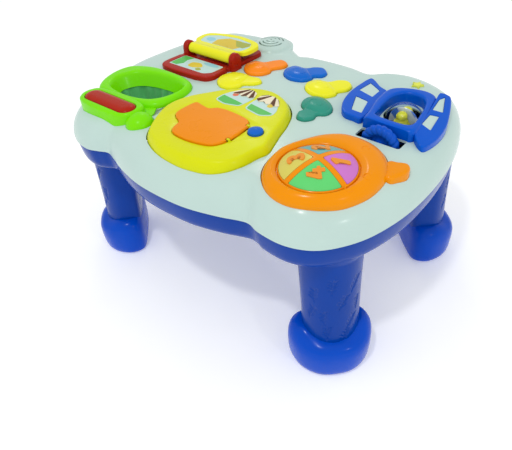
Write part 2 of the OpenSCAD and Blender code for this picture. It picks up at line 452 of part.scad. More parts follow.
// outlines of the plain numerals
NUM = [[],
  [[-1.5,-7],[1.5,-7],[1.5,7],[-0.5,7],[-4,4.5],[-2.8,2.6],[-1.5,3.6]],
  [[-5,-7],[5,-7],[5,-4.2],[-0.8,-4.2],[4.2,0.8],[5,3],[4.6,5],[3,6.6],[0,7.2],[-3,6.6],[-4.8,4.8],[-5,3],[-2,3],[-1.2,4.2],[0.2,4.6],[1.6,4],[1.8,2.6],[-5,-4.4]],
  [[-5,-5],[-3.4,-6.6],[0,-7.2],[3.2,-6.6],[5,-4.6],[5,-2],[3.4,0],[5,2],[4.8,4.8],[3,6.6],[0,7.2],[-3.2,6.6],[-4.8,5],[-2.8,3.2],[-1,4.3],[1,4.2],[2,3],[1,1.4],[-1,1.2],[-1,-1.2],[1,-1.4],[2.1,-2.8],[1.2,-4.2],[-1,-4.4],[-3,-3.2]],
  [[1,-7],[4,-7],[4,-4],[6,-4],[6,-1.4],[4,-1.4],[4,2],[1,2],[1,-1.4],[-2,-1.4],[1.5,7],[-1.6,7],[-5.4,-1.6],[-5.4,-4],[1,-4]]];
module number_pad(q, k, c) color(c) translate([disc_c[0], disc_c[1], 0]) {
  difference() {
    intersection() {
      translate([0, 0, disc_cz]) sphere(r = disc_R, $fn = 96);
      translate([0, 0, 262]) cylinder(r = disc_r - 2.4, h = 40, $fn = 64);
      rotate(cross_turn + 90*q) translate([3.6, 3.6, 240]) cube([60, 60, 60]);
    }
    translate([0, 0, disc_cz]) sphere(r = disc_R - 3, $fn = 96);
  }
  rotate(cross_turn + 90*q + 45) translate([23, 0, 253]) cylinder(r = 3, h = disc_cz + disc_R - 5 - 253, $fn = 24);
  // raised numeral, square to the dome
  rotate(cross_turn + 90*q + 45) translate([0, 0, disc_cz]) rotate([0, num_tilt, 0]) translate([0, 0, disc_R - 1.2]) rotate(num_turn - cross_turn - 90*q - 45) linear_extrude(2) polygon(scaled(NUM[k], 1.4, 1.4));
}
module number_pad_1() number_pad(0, 1, [0.76, 0.42, 0.72]);
module number_pad_2() number_pad(1, 2, [0.42, 0.68, 0.66]);
module number_pad_3() number_pad(2, 3, [0.85, 0.78, 0.35]);
module number_pad_4() number_pad(3, 4, [0.42, 0.82, 0.45]);

// ---- inside ---------------------------------------------------------------
module speaker() color(dark_c) translate([spk_c[0], spk_c[1], 0]) { translate([0, 0, 254]) cylinder(r = 22, h = 4); translate([0, 0, 246]) cylinder(r1 = 13, r2 = 20, h = 8); translate([0, 0, 238]) cylinder(r = 13, h = 8); }
module key_board() color(green_pcb) difference() { translate([-82, -8, 246]) cube([190, 112, 1.6]); for (p = [[-76,-2],[102,-2],[-76,98],[102,98]]) translate([p[0], p[1], 240]) cylinder(r = 1.6, h = 10, $fn = 24); translate([65, -30, 240]) cube([80, 24, 10]); }
module front_board() color(green_pcb) difference() { translate([52, -140, 246]) cube([152, 84, 1.6]); for (p = [[58,-134],[198,-134],[58,-62],[198,-62]]) translate([p[0], p[1], 240]) cylinder(r = 1.6, h = 10, $fn = 24); }
module bar_board() color(green_pcb) difference() { translate([-172, -150, 244]) cube([52, 26, 1.6]); for (p = [-166, -126]) translate([p, -137, 240]) cylinder(r = 1.6, h = 10, $fn = 24); }
module rubber(x, y, z) translate([x, y, z]) cylinder(r1 = 5, r2 = 3, h = 2, $fn = 24);
module contact_domes() color([0.75, 0.75, 0.72]) {
  for (K = [K_ORANGE, K_LEMON, K_BLUE, K_YELLOW, K_TEAL]) rubber(mid(K)[0], mid(K)[1], 247.7);
  rubber(btn_c[0], btn_c[1], 247.7);
  for (q = [0:3]) rubber(disc_c[0] + 23*cos(cross_turn + 90*q + 45), disc_c[1] + 23*sin(cross_turn + 90*q + 45), 247.7 - 1.5 + 1.5);
  rubber(bar_c[0], bar_c[1], 245.7);
}
module pad_lights() color([0.9, 0.9, 0.85]) for (q = [0:3]) translate([disc_c[0] + 12*cos(cross_turn + 90*q + 45), disc_c[1] + 12*sin(cross_turn + 90*q + 45), 247.7]) { cylinder(r = 2.5, h = 6, $fn = 24); translate([0, 0, 6]) sphere(r = 2.5, $fn = 24); }
module battery_box() color(blue_c) difference() {
  translate([-38, -30, tray_z + 3.2]) cube([76, 60, 20]);
  translate([-35, -27, tray_z + 3]) cube([70, 54, 17.5]);
}
module batteries() for (y = [-16.5, 0, 16.5]) translate([-25, y, tray_z + 12]) rotate([0, 90, 0]) { color([0.15,0.16,0.18]) cylinder(r = 7, h = 49, $fn = 32); color(metal_c) translate([0, 0, 48.5]) cylinder(r = 2.7, h = 2, $fn = 24); }
module battery_contacts() color(metal_c) for (y = [-16.5, 0, 16.5]) { translate([-34.8, y - 5, tray_z + 6]) cube([0.6, 10, 12]); translate([33.5, y - 5, tray_z + 6]) cube([0.6, 10, 12]); translate([-34.2, y, tray_z + 12]) rotate([0, 90, 0]) cylinder(r1 = 4, r2 = 2.5, h = 9, $fn = 24); }
module battery_door() color(blue_c) difference() { translate([-35.7, -27.7, tray_z]) cube([71.4, 55.4, 2.6]); translate([30, 0, tray_z - 1]) cylinder(r = 1.7, h = 8, $fn = 24); translate([30, 0, tray_z - 1]) cylinder(r = 3.6, h = 2.6, $fn = 24); for (y = [-15:5:15]) translate([-30, y - 0.75, tray_z - 1]) cube([24, 1.5, 1.6]); }
module battery_screw() color(metal_c) translate([30, 0, tray_z + 0.4]) { cylinder(r = 3.2, h = 1.1, $fn = 24); cylinder(r = 1.5, h = 4, $fn = 24); }
module power_switch() color([0.85, 0.2, 0.1]) translate([-105, -3.2, tray_z + 0.2]) { cube([6, 6.4, 6]); translate([-4, -3, 4.2]) cube([14, 12.4, 2]); }

top_shell();
bottom_tray();
leg_front_left();
leg_front_right();
leg_back_left();
leg_back_right();
boot_front_left();
boot_front_right();
boot_back_left();
boot_back_right();
casing_screws();
ball_hoop();
hoop_net();
hoop_bar();
house_panel();
house_windows();
house_awnings();
door_picture();
house_door();
door_pin();
house_button();
book_base();
book_picture();
book_pin();
book_page();
page_picture();
key_orange();
key_lemon();
key_blue();
key_yellow();
key_teal();
window_frame();
star_light();
spin_ball();
spin_figure();
spin_swirl();
spin_axle();
spin_wheel();
pad_housing();
number_pad_1();
number_pad_2();
number_pad_3();
number_pad_4();
speaker();
key_board();
front_board();
bar_board();
contact_domes();
pad_lights();
battery_box();
batteries();
battery_contacts();
battery_door();
battery_screw();
power_switch();
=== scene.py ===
# Musical activity table: looks, camera and light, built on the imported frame.
# Outlines and heights are the part's own, in millimetres; meshes are in metres.
import bpy, bmesh, json, random
import numpy as np
from math import sin, cos, pi, radians, degrees, atan2, asin, sqrt, exp
from mathutils import Vector, Matrix

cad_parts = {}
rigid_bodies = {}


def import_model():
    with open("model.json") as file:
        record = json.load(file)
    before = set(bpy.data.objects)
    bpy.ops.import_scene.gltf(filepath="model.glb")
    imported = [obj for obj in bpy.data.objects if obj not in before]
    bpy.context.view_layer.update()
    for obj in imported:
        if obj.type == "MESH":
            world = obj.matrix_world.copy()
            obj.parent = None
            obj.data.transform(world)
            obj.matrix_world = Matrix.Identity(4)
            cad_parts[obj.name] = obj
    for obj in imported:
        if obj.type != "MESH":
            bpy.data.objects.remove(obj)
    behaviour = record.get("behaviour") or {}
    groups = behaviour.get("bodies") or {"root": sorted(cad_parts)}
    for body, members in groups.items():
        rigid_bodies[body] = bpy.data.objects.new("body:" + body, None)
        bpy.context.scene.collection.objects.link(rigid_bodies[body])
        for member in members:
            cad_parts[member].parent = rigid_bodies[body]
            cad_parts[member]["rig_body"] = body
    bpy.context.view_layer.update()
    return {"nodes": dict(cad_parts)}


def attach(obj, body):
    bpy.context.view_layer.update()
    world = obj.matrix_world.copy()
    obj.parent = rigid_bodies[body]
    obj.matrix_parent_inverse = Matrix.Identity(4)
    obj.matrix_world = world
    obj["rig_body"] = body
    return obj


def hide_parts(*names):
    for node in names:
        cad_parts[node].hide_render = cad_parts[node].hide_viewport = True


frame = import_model()
NODE = frame["nodes"]
MM = 0.001
scene = bpy.context.scene

# ---- camera -----------------------------------------------------------------
yaw, pitch, roll = 2.3026153, 0.7212878, -0.0804542
at = Vector((0.41867, -0.49132, 0.60592))
look = Vector((cos(yaw) * cos(pitch), sin(yaw) * cos(pitch), -sin(pitch)))
side = Vector((sin(yaw), -cos(yaw), 0))
up = side.cross(look)
side2, up2 = cos(roll) * side + sin(roll) * up, -sin(roll) * side + cos(roll) * up
cam_data = bpy.data.cameras.new("camera")
cam = bpy.data.objects.new("camera", cam_data)
scene.collection.objects.link(cam)
cam.matrix_world = Matrix(((side2.x, up2.x, -look.x, at.x), (side2.y, up2.y, -look.y, at.y), (side2.z, up2.z, -look.z, at.z), (0, 0, 0, 1)))
cam_data.sensor_width = 36
cam_data.lens = 532.35 / 512 * 36
cam_data.clip_start = 0.02
scene.camera = cam

# ---- outlines ---------------------------------------------------------------
Q = 4  # how much finer the curves are than in the frame
def cr(a, b, c, d, t):
    return 0.5 * (2*b + (c-a)*t + (2*a-5*b+4*c-d)*t*t + (3*b-a-3*c+d)*t*t*t)
def smooth(P, n):
    n *= Q
    P = [np.array(p, float) for p in P]
    L = len(P)
    return [cr(P[i-1], P[i], P[(i+1) % L], P[(i+2) % L], j/n) for i in range(L) for j in range(n)]
def inset(P, d):
    P = np.array(P, float)
    v = np.roll(P, -1, 0) - np.roll(P, 1, 0)
    m = np.maximum(np.hypot(v[:, 0], v[:, 1]), 1e-9)[:, None]
    return P - d * np.c_[v[:, 1], -v[:, 0]] / m
def rev(P): return list(P)[::-1]
def scaled(P, a, b): return np.array(P, float) * [a, b]
def moved(P, v): return np.array(P, float) + v
def turned(P, deg):
    a = radians(deg)
    return np.array(P, float) @ np.array([[cos(a), sin(a)], [-sin(a), cos(a)]])
def mirx(P): return [[-p[0], p[1]] for p in list(P)[::-1]]
def mid(P): return np.array(P, float).mean(0)
def rounded(P, r, k=6):
    """A polygon with its corners rounded to about r."""
    P = [np.array(p, float) for p in P]
    out = []
    for i, p in enumerate(P):
        a, b = P[i-1] - p, P[(i+1) % len(P)] - p
        la, lb = np.hypot(*a), np.hypot(*b)
        d = min(r, la * 0.45, lb * 0.45)
        s, e = p + a/la*d, p + b/lb*d
        for j in range(k + 1):
            t = j / k
            out.append((1-t)**2*s + 2*t*(1-t)*p + t*t*e)
    return out
def even(P, step):
    """The same closed outline with points about every step mm."""
    P = np.array(P, float)
    out = []
    for i in range(len(P)):
        a, b = P[i], P[(i+1) % len(P)]
        n = max(1, int(round(np.hypot(*(b-a)) / step)))
        out += [a + (b-a)*j/n for j in range(n)]
    return np.array(out)
def stadium(l, w, n=24):
    return [[l/2-w/2+w/2*cos(radians(-90+180*i/n)), w/2*sin(radians(-90+180*i/n))] for i in range(n+1)] + \
           [[-l/2+w/2+w/2*cos(radians(90+180*i/n)), w/2*sin(radians(90+180*i/n))] for i in range(n+1)]
def circle(c, r, n=64):
    return np.array([[c[0]+r*cos(2*pi*i/n), c[1]+r*sin(2*pi*i/n)] for i in range(n)])
BODY = [[0,-192],[40,-189.5],[80,-180],[106,-171],[119,-169],[136,-174],[168,-175],[197,-165],[219,-144],
  [238,-110],[251,-60],[255,-5],[252,50],[243,95],[229,134],[208,165],[180,182],[150,188],[124,181],
  [106,166],[94,161],[80,162],[60,166],[20,167],[-16,164],[-34,158],[-50,166],[-72,179],[-105,187],[-140,189],[-172,185],
  [-198,177],[-216,155],[-230,124],[-242,88],[-250,45],[-255,0],[-251,-50],[-242,-98],[-229,-134],
  [-210,-159],[-186,-172],[-160,-176],[-142,-171],[-127,-166],[-110,-171],[-82,-181],[-42,-190]]
HOOP_O = smooth([[-222,-70],[-214,-94],[-198,-108],[-160,-112],[-122,-110],[-95,-97],[-87,-75],[-87,-48],[-94,-30],[-107,-21],[-133,-16],[-178,-17],[-210,-30],[-221,-47]], 3)
HOOP_I = smooth([[-202,-68],[-199,-84],[-188,-96],[-158,-101],[-130,-98],[-110,-89],[-99,-72],[-96,-50],[-104,-36],[-130,-30],[-165,-34],[-190,-46]], 3)
PLATE = smooth([[-199,-132],[-196,-141],[-188,-148],[-162,-152],[-122,-151],[-101,-145],[-94,-131],[-98,-114],[-120,-108],[-160,-108],[-188,-112],[-197,-122]], 3)
WEB = [[-188,-102],[-188,-116],[-92,-122],[-84,-122],[-86,-110],[-94,-98],[-120,-105]]
PANEL = smooth([[14,-168],[41,-165],[60,-159],[75,-148],[83,-133],[87,-113],[91,-99],[87,-84],[80,-62],[74,-40],[62,-14],[42,4],[14,12],[-15,4],[-40,-15],
  [-57,-36],[-71,-56],[-79,-77],[-79,-98],[-71,-120],[-59,-142],[-46,-155],[-20,-165]], 3)
DOOR = rev(smooth([[-18,-139],[-27,-131],[-31,-117],[-44,-109],[-50,-100],[-49,-78],[-45,-69],[-33,-71],[-21,-72],[-12,-65],[6,-63],
  [34,-66],[44.5,-73],[49,-85],[49.5,-106],[44,-126],[32,-136],[6,-141]], 2))
DOORWAY = [[-20,-131],[28,-131],[38,-118],[38,-76],[-37,-76],[-37,-106],[-22,-108]]
WIN_L = [[-33,-48],[-16,-52],[6,-46],[10,-20],[4,-6],[-6,-4],[-18,-10],[-27,-20],[-33,-34]]
WIN_R = [[15,-46],[42,-51],[56,-42],[54,-30],[46,-16],[36,-7],[24,-4],[15,-12],[13,-30]]
K_ORANGE = smooth([[-76,65],[-67,51],[-51,44],[-36,51],[-30,63],[-32,73],[-22,87],[-24,99],[-37,105],[-47,98],[-56,86],[-71,81]], 3)
K_LEMON = smooth([[-82,20],[-78,4],[-63,-6],[-48,-4],[-39,7],[-38,15],[-26,23],[-21,33],[-30,41],[-44,39],[-56,41],[-73,37]], 3)
K_BLUE = smooth([[-17,83],[-9,69],[7,62],[24,66],[32,76],[31,85],[41,93],[40,105],[28,114],[15,109],[7,101],[-11,99]], 3)
K_YELLOW = smooth([[33,65],[41,50],[57,42],[75,44],[84,56],[83,65],[91,76],[90,89],[79,98],[66,94],[57,83],[41,80]], 3)
K_TEAL = smooth([[58,32],[57,20],[63,10],[71,4],[69,-6],[76,-18],[87,-18],[94,-9],[93,1],[102,8],[103,20],[95,32],[81,40],[67,40]], 3)
FRAME_O = rev(smooth([[143,55],[142,83],[150,97],[169,106],[189,108],[203,100],[208,78],[213,48],[217,20],[214,10],[200,8],[180,8],[160,7],[152,11],[149,28]], 3))
FRAME_I = rev(smooth([[162,24],[158,38],[156,58],[158,77],[166,89],[181,92],[194,86],[201,70],[205,48],[207,30],[202,22],[184,21]], 3))
SHUT_L = smooth([[105,114],[100,90],[100,65],[105,42],[114,24],[124,16],[136,15],[147,16],[147,45],[143,88],[126,100]], 3)
SHUT_R = smooth([[203,104],[207,80],[211,48],[211,26],[218,12],[228,4],[234,8],[237,33],[235,60],[227,88],[217,112],[210,114],[204,110]], 3)
PANES = [[[108,76],[111,101],[132,88],[132,68]], [[113,60],[133,56],[141,26],[126,27]],
         [[211,70],[208,96],[211,107],[222,78]], [[214,36],[213,60],[222,68],[226,36]]]
HOUSE_O = smooth([[99,-95],[103,-118],[112,-136],[127,-150],[145,-156.5],[164,-156],[183,-149],[199,-138],[212,-123],[222,-102],[226,-82],[225,-62],[216,-42],[198,-25],[174,-17],[146,-19],[124,-35],[108,-60],[100,-80]], 3)
TAB = rev(smooth([[212,-38],[222,-33],[231,-30],[237,-34],[239,-43],[235,-55],[228,-66],[212,-62]], 3))
BOOT = [[50,0],[46,24],[30,44],[6,54],[-12,51],[-21,40],[-23,14],[-23,-14],[-21,-40],[-12,-51],[6,-54],[30,-44],[46,-24]]
SHAFT = [[1,0],[0.9,0.44],[0.62,0.80],[0.22,1.02],[-0.26,1.0],[-0.56,0.82],[-0.62,0.3],[-0.62,-0.3],[-0.56,-0.82],[-0.26,-1.0],[0.22,-1.02],[0.62,-0.80],[0.9,-0.44]]
AWN = [[-25,-21],[-20,-24],[-14,-21],[-8,-25],[-2,-21],[4,-24],[9,-19],[6,-9],[-3,-4.5],[-11,-6],[-20,-13]]
AWN_R = [[14,-20],[20,-24],[26,-20],[32,-24],[38,-20],[44,-24],[50,-20],[42,-9],[32,-4],[21,-4],[14,-11]]
NUM = [[],
  [[-1.5,-7],[1.5,-7],[1.5,7],[-0.5,7],[-4,4.5],[-2.8,2.6],[-1.5,3.6]],
  [[-5,-7],[5,-7],[5,-4.2],[-0.8,-4.2],[4.2,0.8],[5,3],[4.6,5],[3,6.6],[0,7.2],[-3,6.6],[-4.8,4.8],[-5,3],[-2,3],[-1.2,4.2],[0.2,4.6],[1.6,4],[1.8,2.6],[-5,-4.4]],
  [[-5,-5],[-3.4,-6.6],[0,-7.2],[3.2,-6.6],[5,-4.6],[5,-2],[3.4,0],[5,2],[4.8,4.8],[3,6.6],[0,7.2],[-3.2,6.6],[-4.8,5],[-2.8,3.2],[-1,4.3],[1,4.2],[2,3],[1,1.4],[-1,1.2],[-1,-1.2],[1,-1.4],[2.1,-2.8],[1.2,-4.2],[-1,-4.4],[-3,-3.2]],
  [[1,-7],[4,-7],[4,-4],[6,-4],[6,-1.4],[4,-1.4],[4,2],[1,2],[1,-1.4],[-2,-1.4],[1.5,7],[-1.6,7],[-5.4,-1.6],[-5.4,-4],[1,-4]]]

# ---- mesh tools -------------------------------------------------------------
def new_object(name, bm):
    me = bpy.data.meshes.new(name)
    bm.normal_update()
    bm.to_mesh(me)
    bm.free()
    ob = bpy.data.objects.new(name, me)
    scene.collection.objects.link(ob)
    return ob

def ring3(P, z):
    """Outline with one height, or with a function of x and y."""
    return [(float(x), float(y), float(z(x, y) if callable(z) else z)) for x, y in P]

def skin(name, rings, cap0=True, cap1=True, tip=None):
    """Solid through rings of points in mm, each [(x, y, z), ...], counter-clockwise and from the bottom up."""
    bm = bmesh.new()
    R = [[bm.verts.new((x*MM, y*MM, z*MM)) for x, y, z in r] for r in rings]
    for a, b in zip(R, R[1:]):
        n = len(a)
        for i in range(n):
            bm.faces.new((a[i], a[(i+1) % n], b[(i+1) % n], b[i]))
    caps = []
    if cap0:
        caps.append(bm.faces.new(R[0][::-1]))
    if tip is not None:
        t = bm.verts.new(tuple(c*MM for c in tip))
        n = len(R[-1])
        for i in range(n):
            bm.faces.new((R[-1][i], R[-1][(i+1) % n], t))
    elif cap1:
        caps.append(bm.faces.new(R[-1]))
    if caps:
        bmesh.ops.triangulate(bm, faces=caps)
    return new_object(name, bm)

def loft(name, R, **k):
    return skin(name, [ring3(P, z) for P, z in R], **k)

def block(name, P, z0, z1):
    return loft(name, [(P, z0), (P, z1)])

def pad_rings(P, z0, z1, e, k=7, steps=0):
    """Upright pad with a rounded upper edge."""
    return [(P, z0)] + [(inset(P, e*(1-cos(pi/2*i/k))), z1 - e + e*sin(pi/2*i/k)) for i in range(k+1)]

def hole(name, P, z0, z1, r, top=30, k=7):
    """Cutter that leaves a rounded edge of radius r where it comes out at z1."""
    rings = [(P, z0)] + [(inset(P, -r*(1-cos(pi/2*i/k))), z1 - r + r*sin(pi/2*i/k)) for i in range(k+1)]
    last = rings[-1][0]
    return loft(name, rings + [(last, z1 + 0.02), (inset(last, -0.4), z1 + top)])

def bake(ob):
    bpy.context.view_layer.update()
    dg = bpy.context.evaluated_depsgraph_get()
    me = bpy.data.meshes.new_from_object(ob.evaluated_get(dg))
    ob.modifiers.clear()
    ob.data = me
    return ob

def cut(ob, *tools, op="DIFFERENCE"):
    for t in tools:
        m = ob.modifiers.new("b", "BOOLEAN")
        m.operation, m.object, m.solver = op, t, "EXACT"
        bake(ob)
        bpy.data.objects.remove(t)
    return ob

def join(name, *obs):
    """One object of several shells that stay apart."""
    bm = bmesh.new()
    for o in obs:
        me = o.data.copy()
        me.transform(o.matrix_world)
        bm.from_mesh(me)
        bpy.data.objects.remove(o)
    return new_object(name, bm)

def shade(ob, angle=32):
    ob.data.polygons.foreach_set("use_smooth", [True] * len(ob.data.polygons))
    ob.data.set_sharp_from_angle(angle=radians(angle))
    return ob

def place(ob, mat, node=None, body=None, angle=32, weld=True):
    """Material and body of a finished piece; the frame node it stands in for is hidden."""
    if weld:
        bm = bmesh.new()
        bm.from_mesh(ob.data)
        bmesh.ops.remove_doubles(bm, verts=bm.verts, dist=2e-6)
        bm.to_mesh(ob.data)
        bm.free()
    if angle:
        shade(ob, angle)
    ob.data.materials.clear()
    for m in (mat if isinstance(mat, (list, tuple)) else [mat]):
        ob.data.materials.append(m)
    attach(ob, body or NODE[node]["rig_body"])
    if node:
        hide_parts(node)
    return ob

def revolve(name, prof, c=(0, 0, 0), axis="Z", n=96):
    """Solid turned round an axis: prof is [(radius, height), ...] from the bottom up."""
    bm = bmesh.new()
    R = []
    for r, h in prof:
        if r < 1e-6:
            R.append([bm.verts.new((0, 0, h*MM))])
        else:
            R.append([bm.verts.new((r*cos(2*pi*i/n)*MM, r*sin(2*pi*i/n)*MM, h*MM)) for i in range(n)])
    for a, b in zip(R, R[1:]):
        for i in range(n):
            j = (i+1) % n
            q = [a[i % len(a)], a[j % len(a)], b[j % len(b)], b[i % len(b)]]
            u = []
            for v in q:
                if v not in u:
                    u.append(v)
            if len(u) > 2:
                bm.faces.new(u)
    for r, f in ((R[0], True), (R[-1], False)):
        if len(r) > 1:
            bm.faces.new(r[::-1] if f else r)
    ob = new_object(name, bm)
    if axis == "X":
        ob.data.transform(Matrix.Rotation(radians(90), 4, "Y"))
    if axis == "Y":
        ob.data.transform(Matrix.Rotation(radians(-90), 4, "X"))
    ob.data.transform(Matrix.Translation(Vector(c)*MM))
    return ob

# ---- materials --------------------------------------------------------------
def lin(c):
    return [v/255/12.92 if v/255 <= 0.04045 else ((v/255+0.055)/1.055)**2.4 for v in c]

def plastic(name, rgb, rough=0.22, vary=0.05, bump=0.02, grain=900, sub=0.0, coat=0.25, dark=None):
    """Moulded plastic: faint flow marks in its colour, fine orange peel, and a gloss that isn't even."""
    m = bpy.data.materials.new(name)
    m.use_nodes = True
    nt = m.node_tree
    N, L = nt.nodes, nt.links
    b = N["Principled BSDF"]
    tc = N.new("ShaderNodeTexCoord")
    big = N.new("ShaderNodeTexNoise")
    big.inputs["Scale"].default_value = 14
    big.inputs["Detail"].default_value = 3
    L.new(tc.outputs["Object"], big.inputs["Vector"])
    ramp = N.new("ShaderNodeValToRGB")
    c = lin(rgb)
    lo = lin(dark) if dark else [v*(1-vary) for v in c]
    ramp.color_ramp.elements[0].color = (*lo, 1)
    ramp.color_ramp.elements[1].color = (*[min(1, v*(1+vary*0.5)) for v in c], 1)
    ramp.color_ramp.elements[0].position = 0.3
    ramp.color_ramp.elements[1].position = 0.7
    L.new(big.outputs["Fac"], ramp.inputs["Fac"])
    L.new(ramp.outputs["Color"], b.inputs["Base Color"])
    fine = N.new("ShaderNodeTexNoise")
    fine.inputs["Scale"].default_value = grain
    fine.inputs["Detail"].default_value = 2
    L.new(tc.outputs["Object"], fine.inputs["Vector"])
    bp = N.new("ShaderNodeBump")
    bp.inputs["Strength"].default_value = bump
    bp.inputs["Distance"].default_value = 0.0004
    L.new(fine.outputs["Fac"], bp.inputs["Height"])
    L.new(bp.outputs["Normal"], b.inputs["Normal"])
    wear = N.new("ShaderNodeTexNoise")
    wear.inputs["Scale"].default_value = 55
    wear.inputs["Detail"].default_value = 6
    L.new(tc.outputs["Object"], wear.inputs["Vector"])
    mr = N.new("ShaderNodeMapRange")
    mr.inputs["From Min"].default_value = 0.35
    mr.inputs["From Max"].default_value = 0.75
    mr.inputs["To Min"].default_value = rough*0.85
    mr.inputs["To Max"].default_value = rough*1.35
    L.new(wear.outputs["Fac"], mr.inputs["Value"])
    L.new(mr.outputs["Result"], b.inputs["Roughness"])
    b.inputs["IOR"].default_value = 1.5
    b.inputs["Specular IOR Level"].default_value = 0.12
    b.inputs["Coat Weight"].default_value = coat*0.1
    b.inputs["Coat Roughness"].default_value = 0.08
    if sub:
        b.inputs["Subsurface Weight"].default_value = sub
        b.inputs["Subsurface Radius"].default_value = (0.004, 0.004, 0.004)
        b.inputs["Subsurface Scale"].default_value = 0.6
    return m

M = {}
M["shell"] = plastic("shell_white", (192, 216, 209), rough=0.2, vary=0.02, coat=0.4)
# painted shade and light: the tray and legs take a darker blue than the boots, standing in for the shade under the
# top, and the boots take the same blue plastic as lit
M["blue"] = plastic("blue_painted_shade", (0, 62, 158), rough=0.2, vary=0.06, coat=0.4)
M["boot"] = plastic("boot_blue", (0, 76, 196), rough=0.2, vary=0.06, coat=0.4)
M["lime"] = plastic("hoop_lime", (124, 226, 4), rough=0.25, vary=0.04)
M["yellow"] = plastic("house_yellow", (216, 222, 16), rough=0.28, vary=0.03)
M["lemon"] = plastic("key_yellow", (240, 238, 40), rough=0.22, vary=0.03)
M["orange"] = plastic("housing_orange", (240, 146, 0), rough=0.2, vary=0.03, coat=0.4)
M["door"] = plastic("door_orange", (240, 142, 0), rough=0.3, vary=0.03)
M["korange"] = plastic("key_orange", (252, 140, 24), rough=0.2, vary=0.03)
M["red"] = plastic("red", (166, 32, 16), rough=0.25, vary=0.05)
M["barred"] = plastic("bar_red", (172, 34, 10), rough=0.25, vary=0.05)
M["teal"] = plastic("key_teal", (50, 148, 128), rough=0.22, vary=0.04)
M["kblue"] = plastic("key_blue", (14, 104, 206), rough=0.2, vary=0.05)
M["frame"] = plastic("frame_blue", (0, 88, 204), rough=0.2, vary=0.05, coat=0.4)
M["wheel"] = plastic("wheel_blue", (10, 84, 200), rough=0.22, vary=0.05)
M["button"] = plastic("button_blue", (20, 100, 200), rough=0.2, vary=0.05)
M["magenta"] = plastic("pad_magenta", (206, 122, 204), rough=0.28, vary=0.03, sub=0.0)
M["aqua"] = plastic("pad_aqua", (112, 182, 176), rough=0.28, vary=0.03)
M["padyellow"] = plastic("pad_yellow", (216, 206, 96), rough=0.28, vary=0.03)
M["padgreen"] = plastic("pad_green", (100, 212, 116), rough=0.28, vary=0.03)
M["numeral"] = plastic("numeral_orange", (236, 150, 52), rough=0.3, vary=0.03)
M["star"] = plastic("star_yellow", (226, 232, 90), rough=0.25, vary=0.03)
M["black"] = plastic("black", (22, 23, 26), rough=0.5, vary=0.2, coat=0)
M["rubber"] = plastic("rubber_grey", (196, 196, 190), rough=0.6, vary=0.05, coat=0)
M["board"] = plastic("board_green", (20, 92, 46), rough=0.4, vary=0.15, coat=0.1)
M["led"] = plastic("led_clear", (236, 236, 224), rough=0.15, vary=0.02)
M["wrap"] = plastic("battery_wrap", (30, 34, 40), rough=0.25, vary=0.2)
M["switch"] = plastic("switch_red", (214, 48, 24), rough=0.3)
M["figure"] = plastic("figure_yellow", (246, 240, 70), rough=0.25)
M["brown"] = plastic("awning_brown", (92, 52, 22), rough=0.35, vary=0.06, coat=0.1)
M["cream"] = plastic("awning_cream", (236, 226, 196), rough=0.35, vary=0.03, coat=0.1)
M["pale"] = plastic("picture_pale", (190, 220, 216), rough=0.3, vary=0.04, coat=0.2)
M["leaf"] = plastic("picture_green", (90, 190, 90), rough=0.3, vary=0.1, coat=0.2)
M["gold"] = plastic("picture_gold", (222, 196, 60), rough=0.3, vary=0.1, coat=0.2)
M["sky"] = plastic("picture_sky", (150, 205, 220), rough=0.3, vary=0.06, coat=0.2)
M["pink"] = plastic("picture_pink", (226, 120, 90), rough=0.3, vary=0.06, coat=0.2)
M["olive"] = plastic("picture_olive", (168, 176, 70), rough=0.3, vary=0.08, coat=0.2)

def steel():
    m = plastic("steel", (178, 180, 184), rough=0.3, vary=0.08, coat=0)
    m.node_tree.nodes["Principled BSDF"].inputs["Metallic"].default_value = 1
    return m
M["steel"] = steel()

def clear():
    m = bpy.data.materials.new("clear_plastic")
    m.use_nodes = True
    nt = m.node_tree
    b = nt.nodes["Principled BSDF"]
    b.inputs["Transmission Weight"].default_value = 1
    b.inputs["Base Color"].default_value = (0.93, 0.97, 0.99, 1)
    b.inputs["IOR"].default_value = 1.09
    n = nt.nodes.new("ShaderNodeTexNoise")
    n.inputs["Scale"].default_value = 70
    mr = nt.nodes.new("ShaderNodeMapRange")
    mr.inputs["To Min"].default_value = 0.01
    mr.inputs["To Max"].default_value = 0.06
    nt.links.new(n.outputs["Fac"], mr.inputs["Value"])
    nt.links.new(mr.outputs["Result"], b.inputs["Roughness"])
    return m
M["clear"] = clear()

def netting():
    m = plastic("net_cord", (96, 184, 118), rough=0.7, vary=0.15, bump=0.5, grain=1500, coat=0)
    m.node_tree.nodes["Principled BSDF"].inputs["Sheen Weight"].default_value = 0.3
    return m
M["net"] = netting()

KEEP = {"casing_screws": "steel", "door_pin": "steel", "book_pin": "steel", "spin_axle": "steel", "speaker": "black",
        "key_board": "board", "front_board": "board", "bar_board": "board", "contact_domes": "rubber", "pad_lights": "led",
        "battery_box": "blue", "battery_contacts": "steel", "battery_door": "blue", "battery_screw": "steel", "power_switch": "switch",
        "door_picture": "pale", "spin_figure": "figure"}

def coat(node, mat):
    o = NODE[node]
    o.data.materials.clear()
    o.data.materials.append(M[mat])
for n, m in KEEP.items():
    coat(n, m)
# the cells keep two finishes: dark wrap and steel pip
o = NODE["batteries"]
o.data.materials.clear()
o.data.materials.append(M["wrap"])
o.data.materials.append(M["steel"])
for p in o.data.polygons:
    p.material_index = 1 if p.center.x > 0.0238 or p.center.x < -0.0249 else 0

# ---- white top --------------------------------------------------------------
top_z, part_z, tray_z = 264, 221, 184
body = even(smooth(BODY, 2), 3.0)
def top_solid(name, w, zb, k=26):
    B = body if w == 0 else inset(body, w)
    R = [(B, zb)]
    for i in range(k+1):
        t = pi/2*i/k
        R.append((scaled(B, 1-0.15*(1-cos(t)), 1-0.20*(1-cos(t))), part_z + (top_z-part_z-w)*sin(t)))
    return loft(name, R)
def gap_cut(P, z0=240, z1=300, d=-0.5):
    return block("t", inset(P, d), z0, z1)

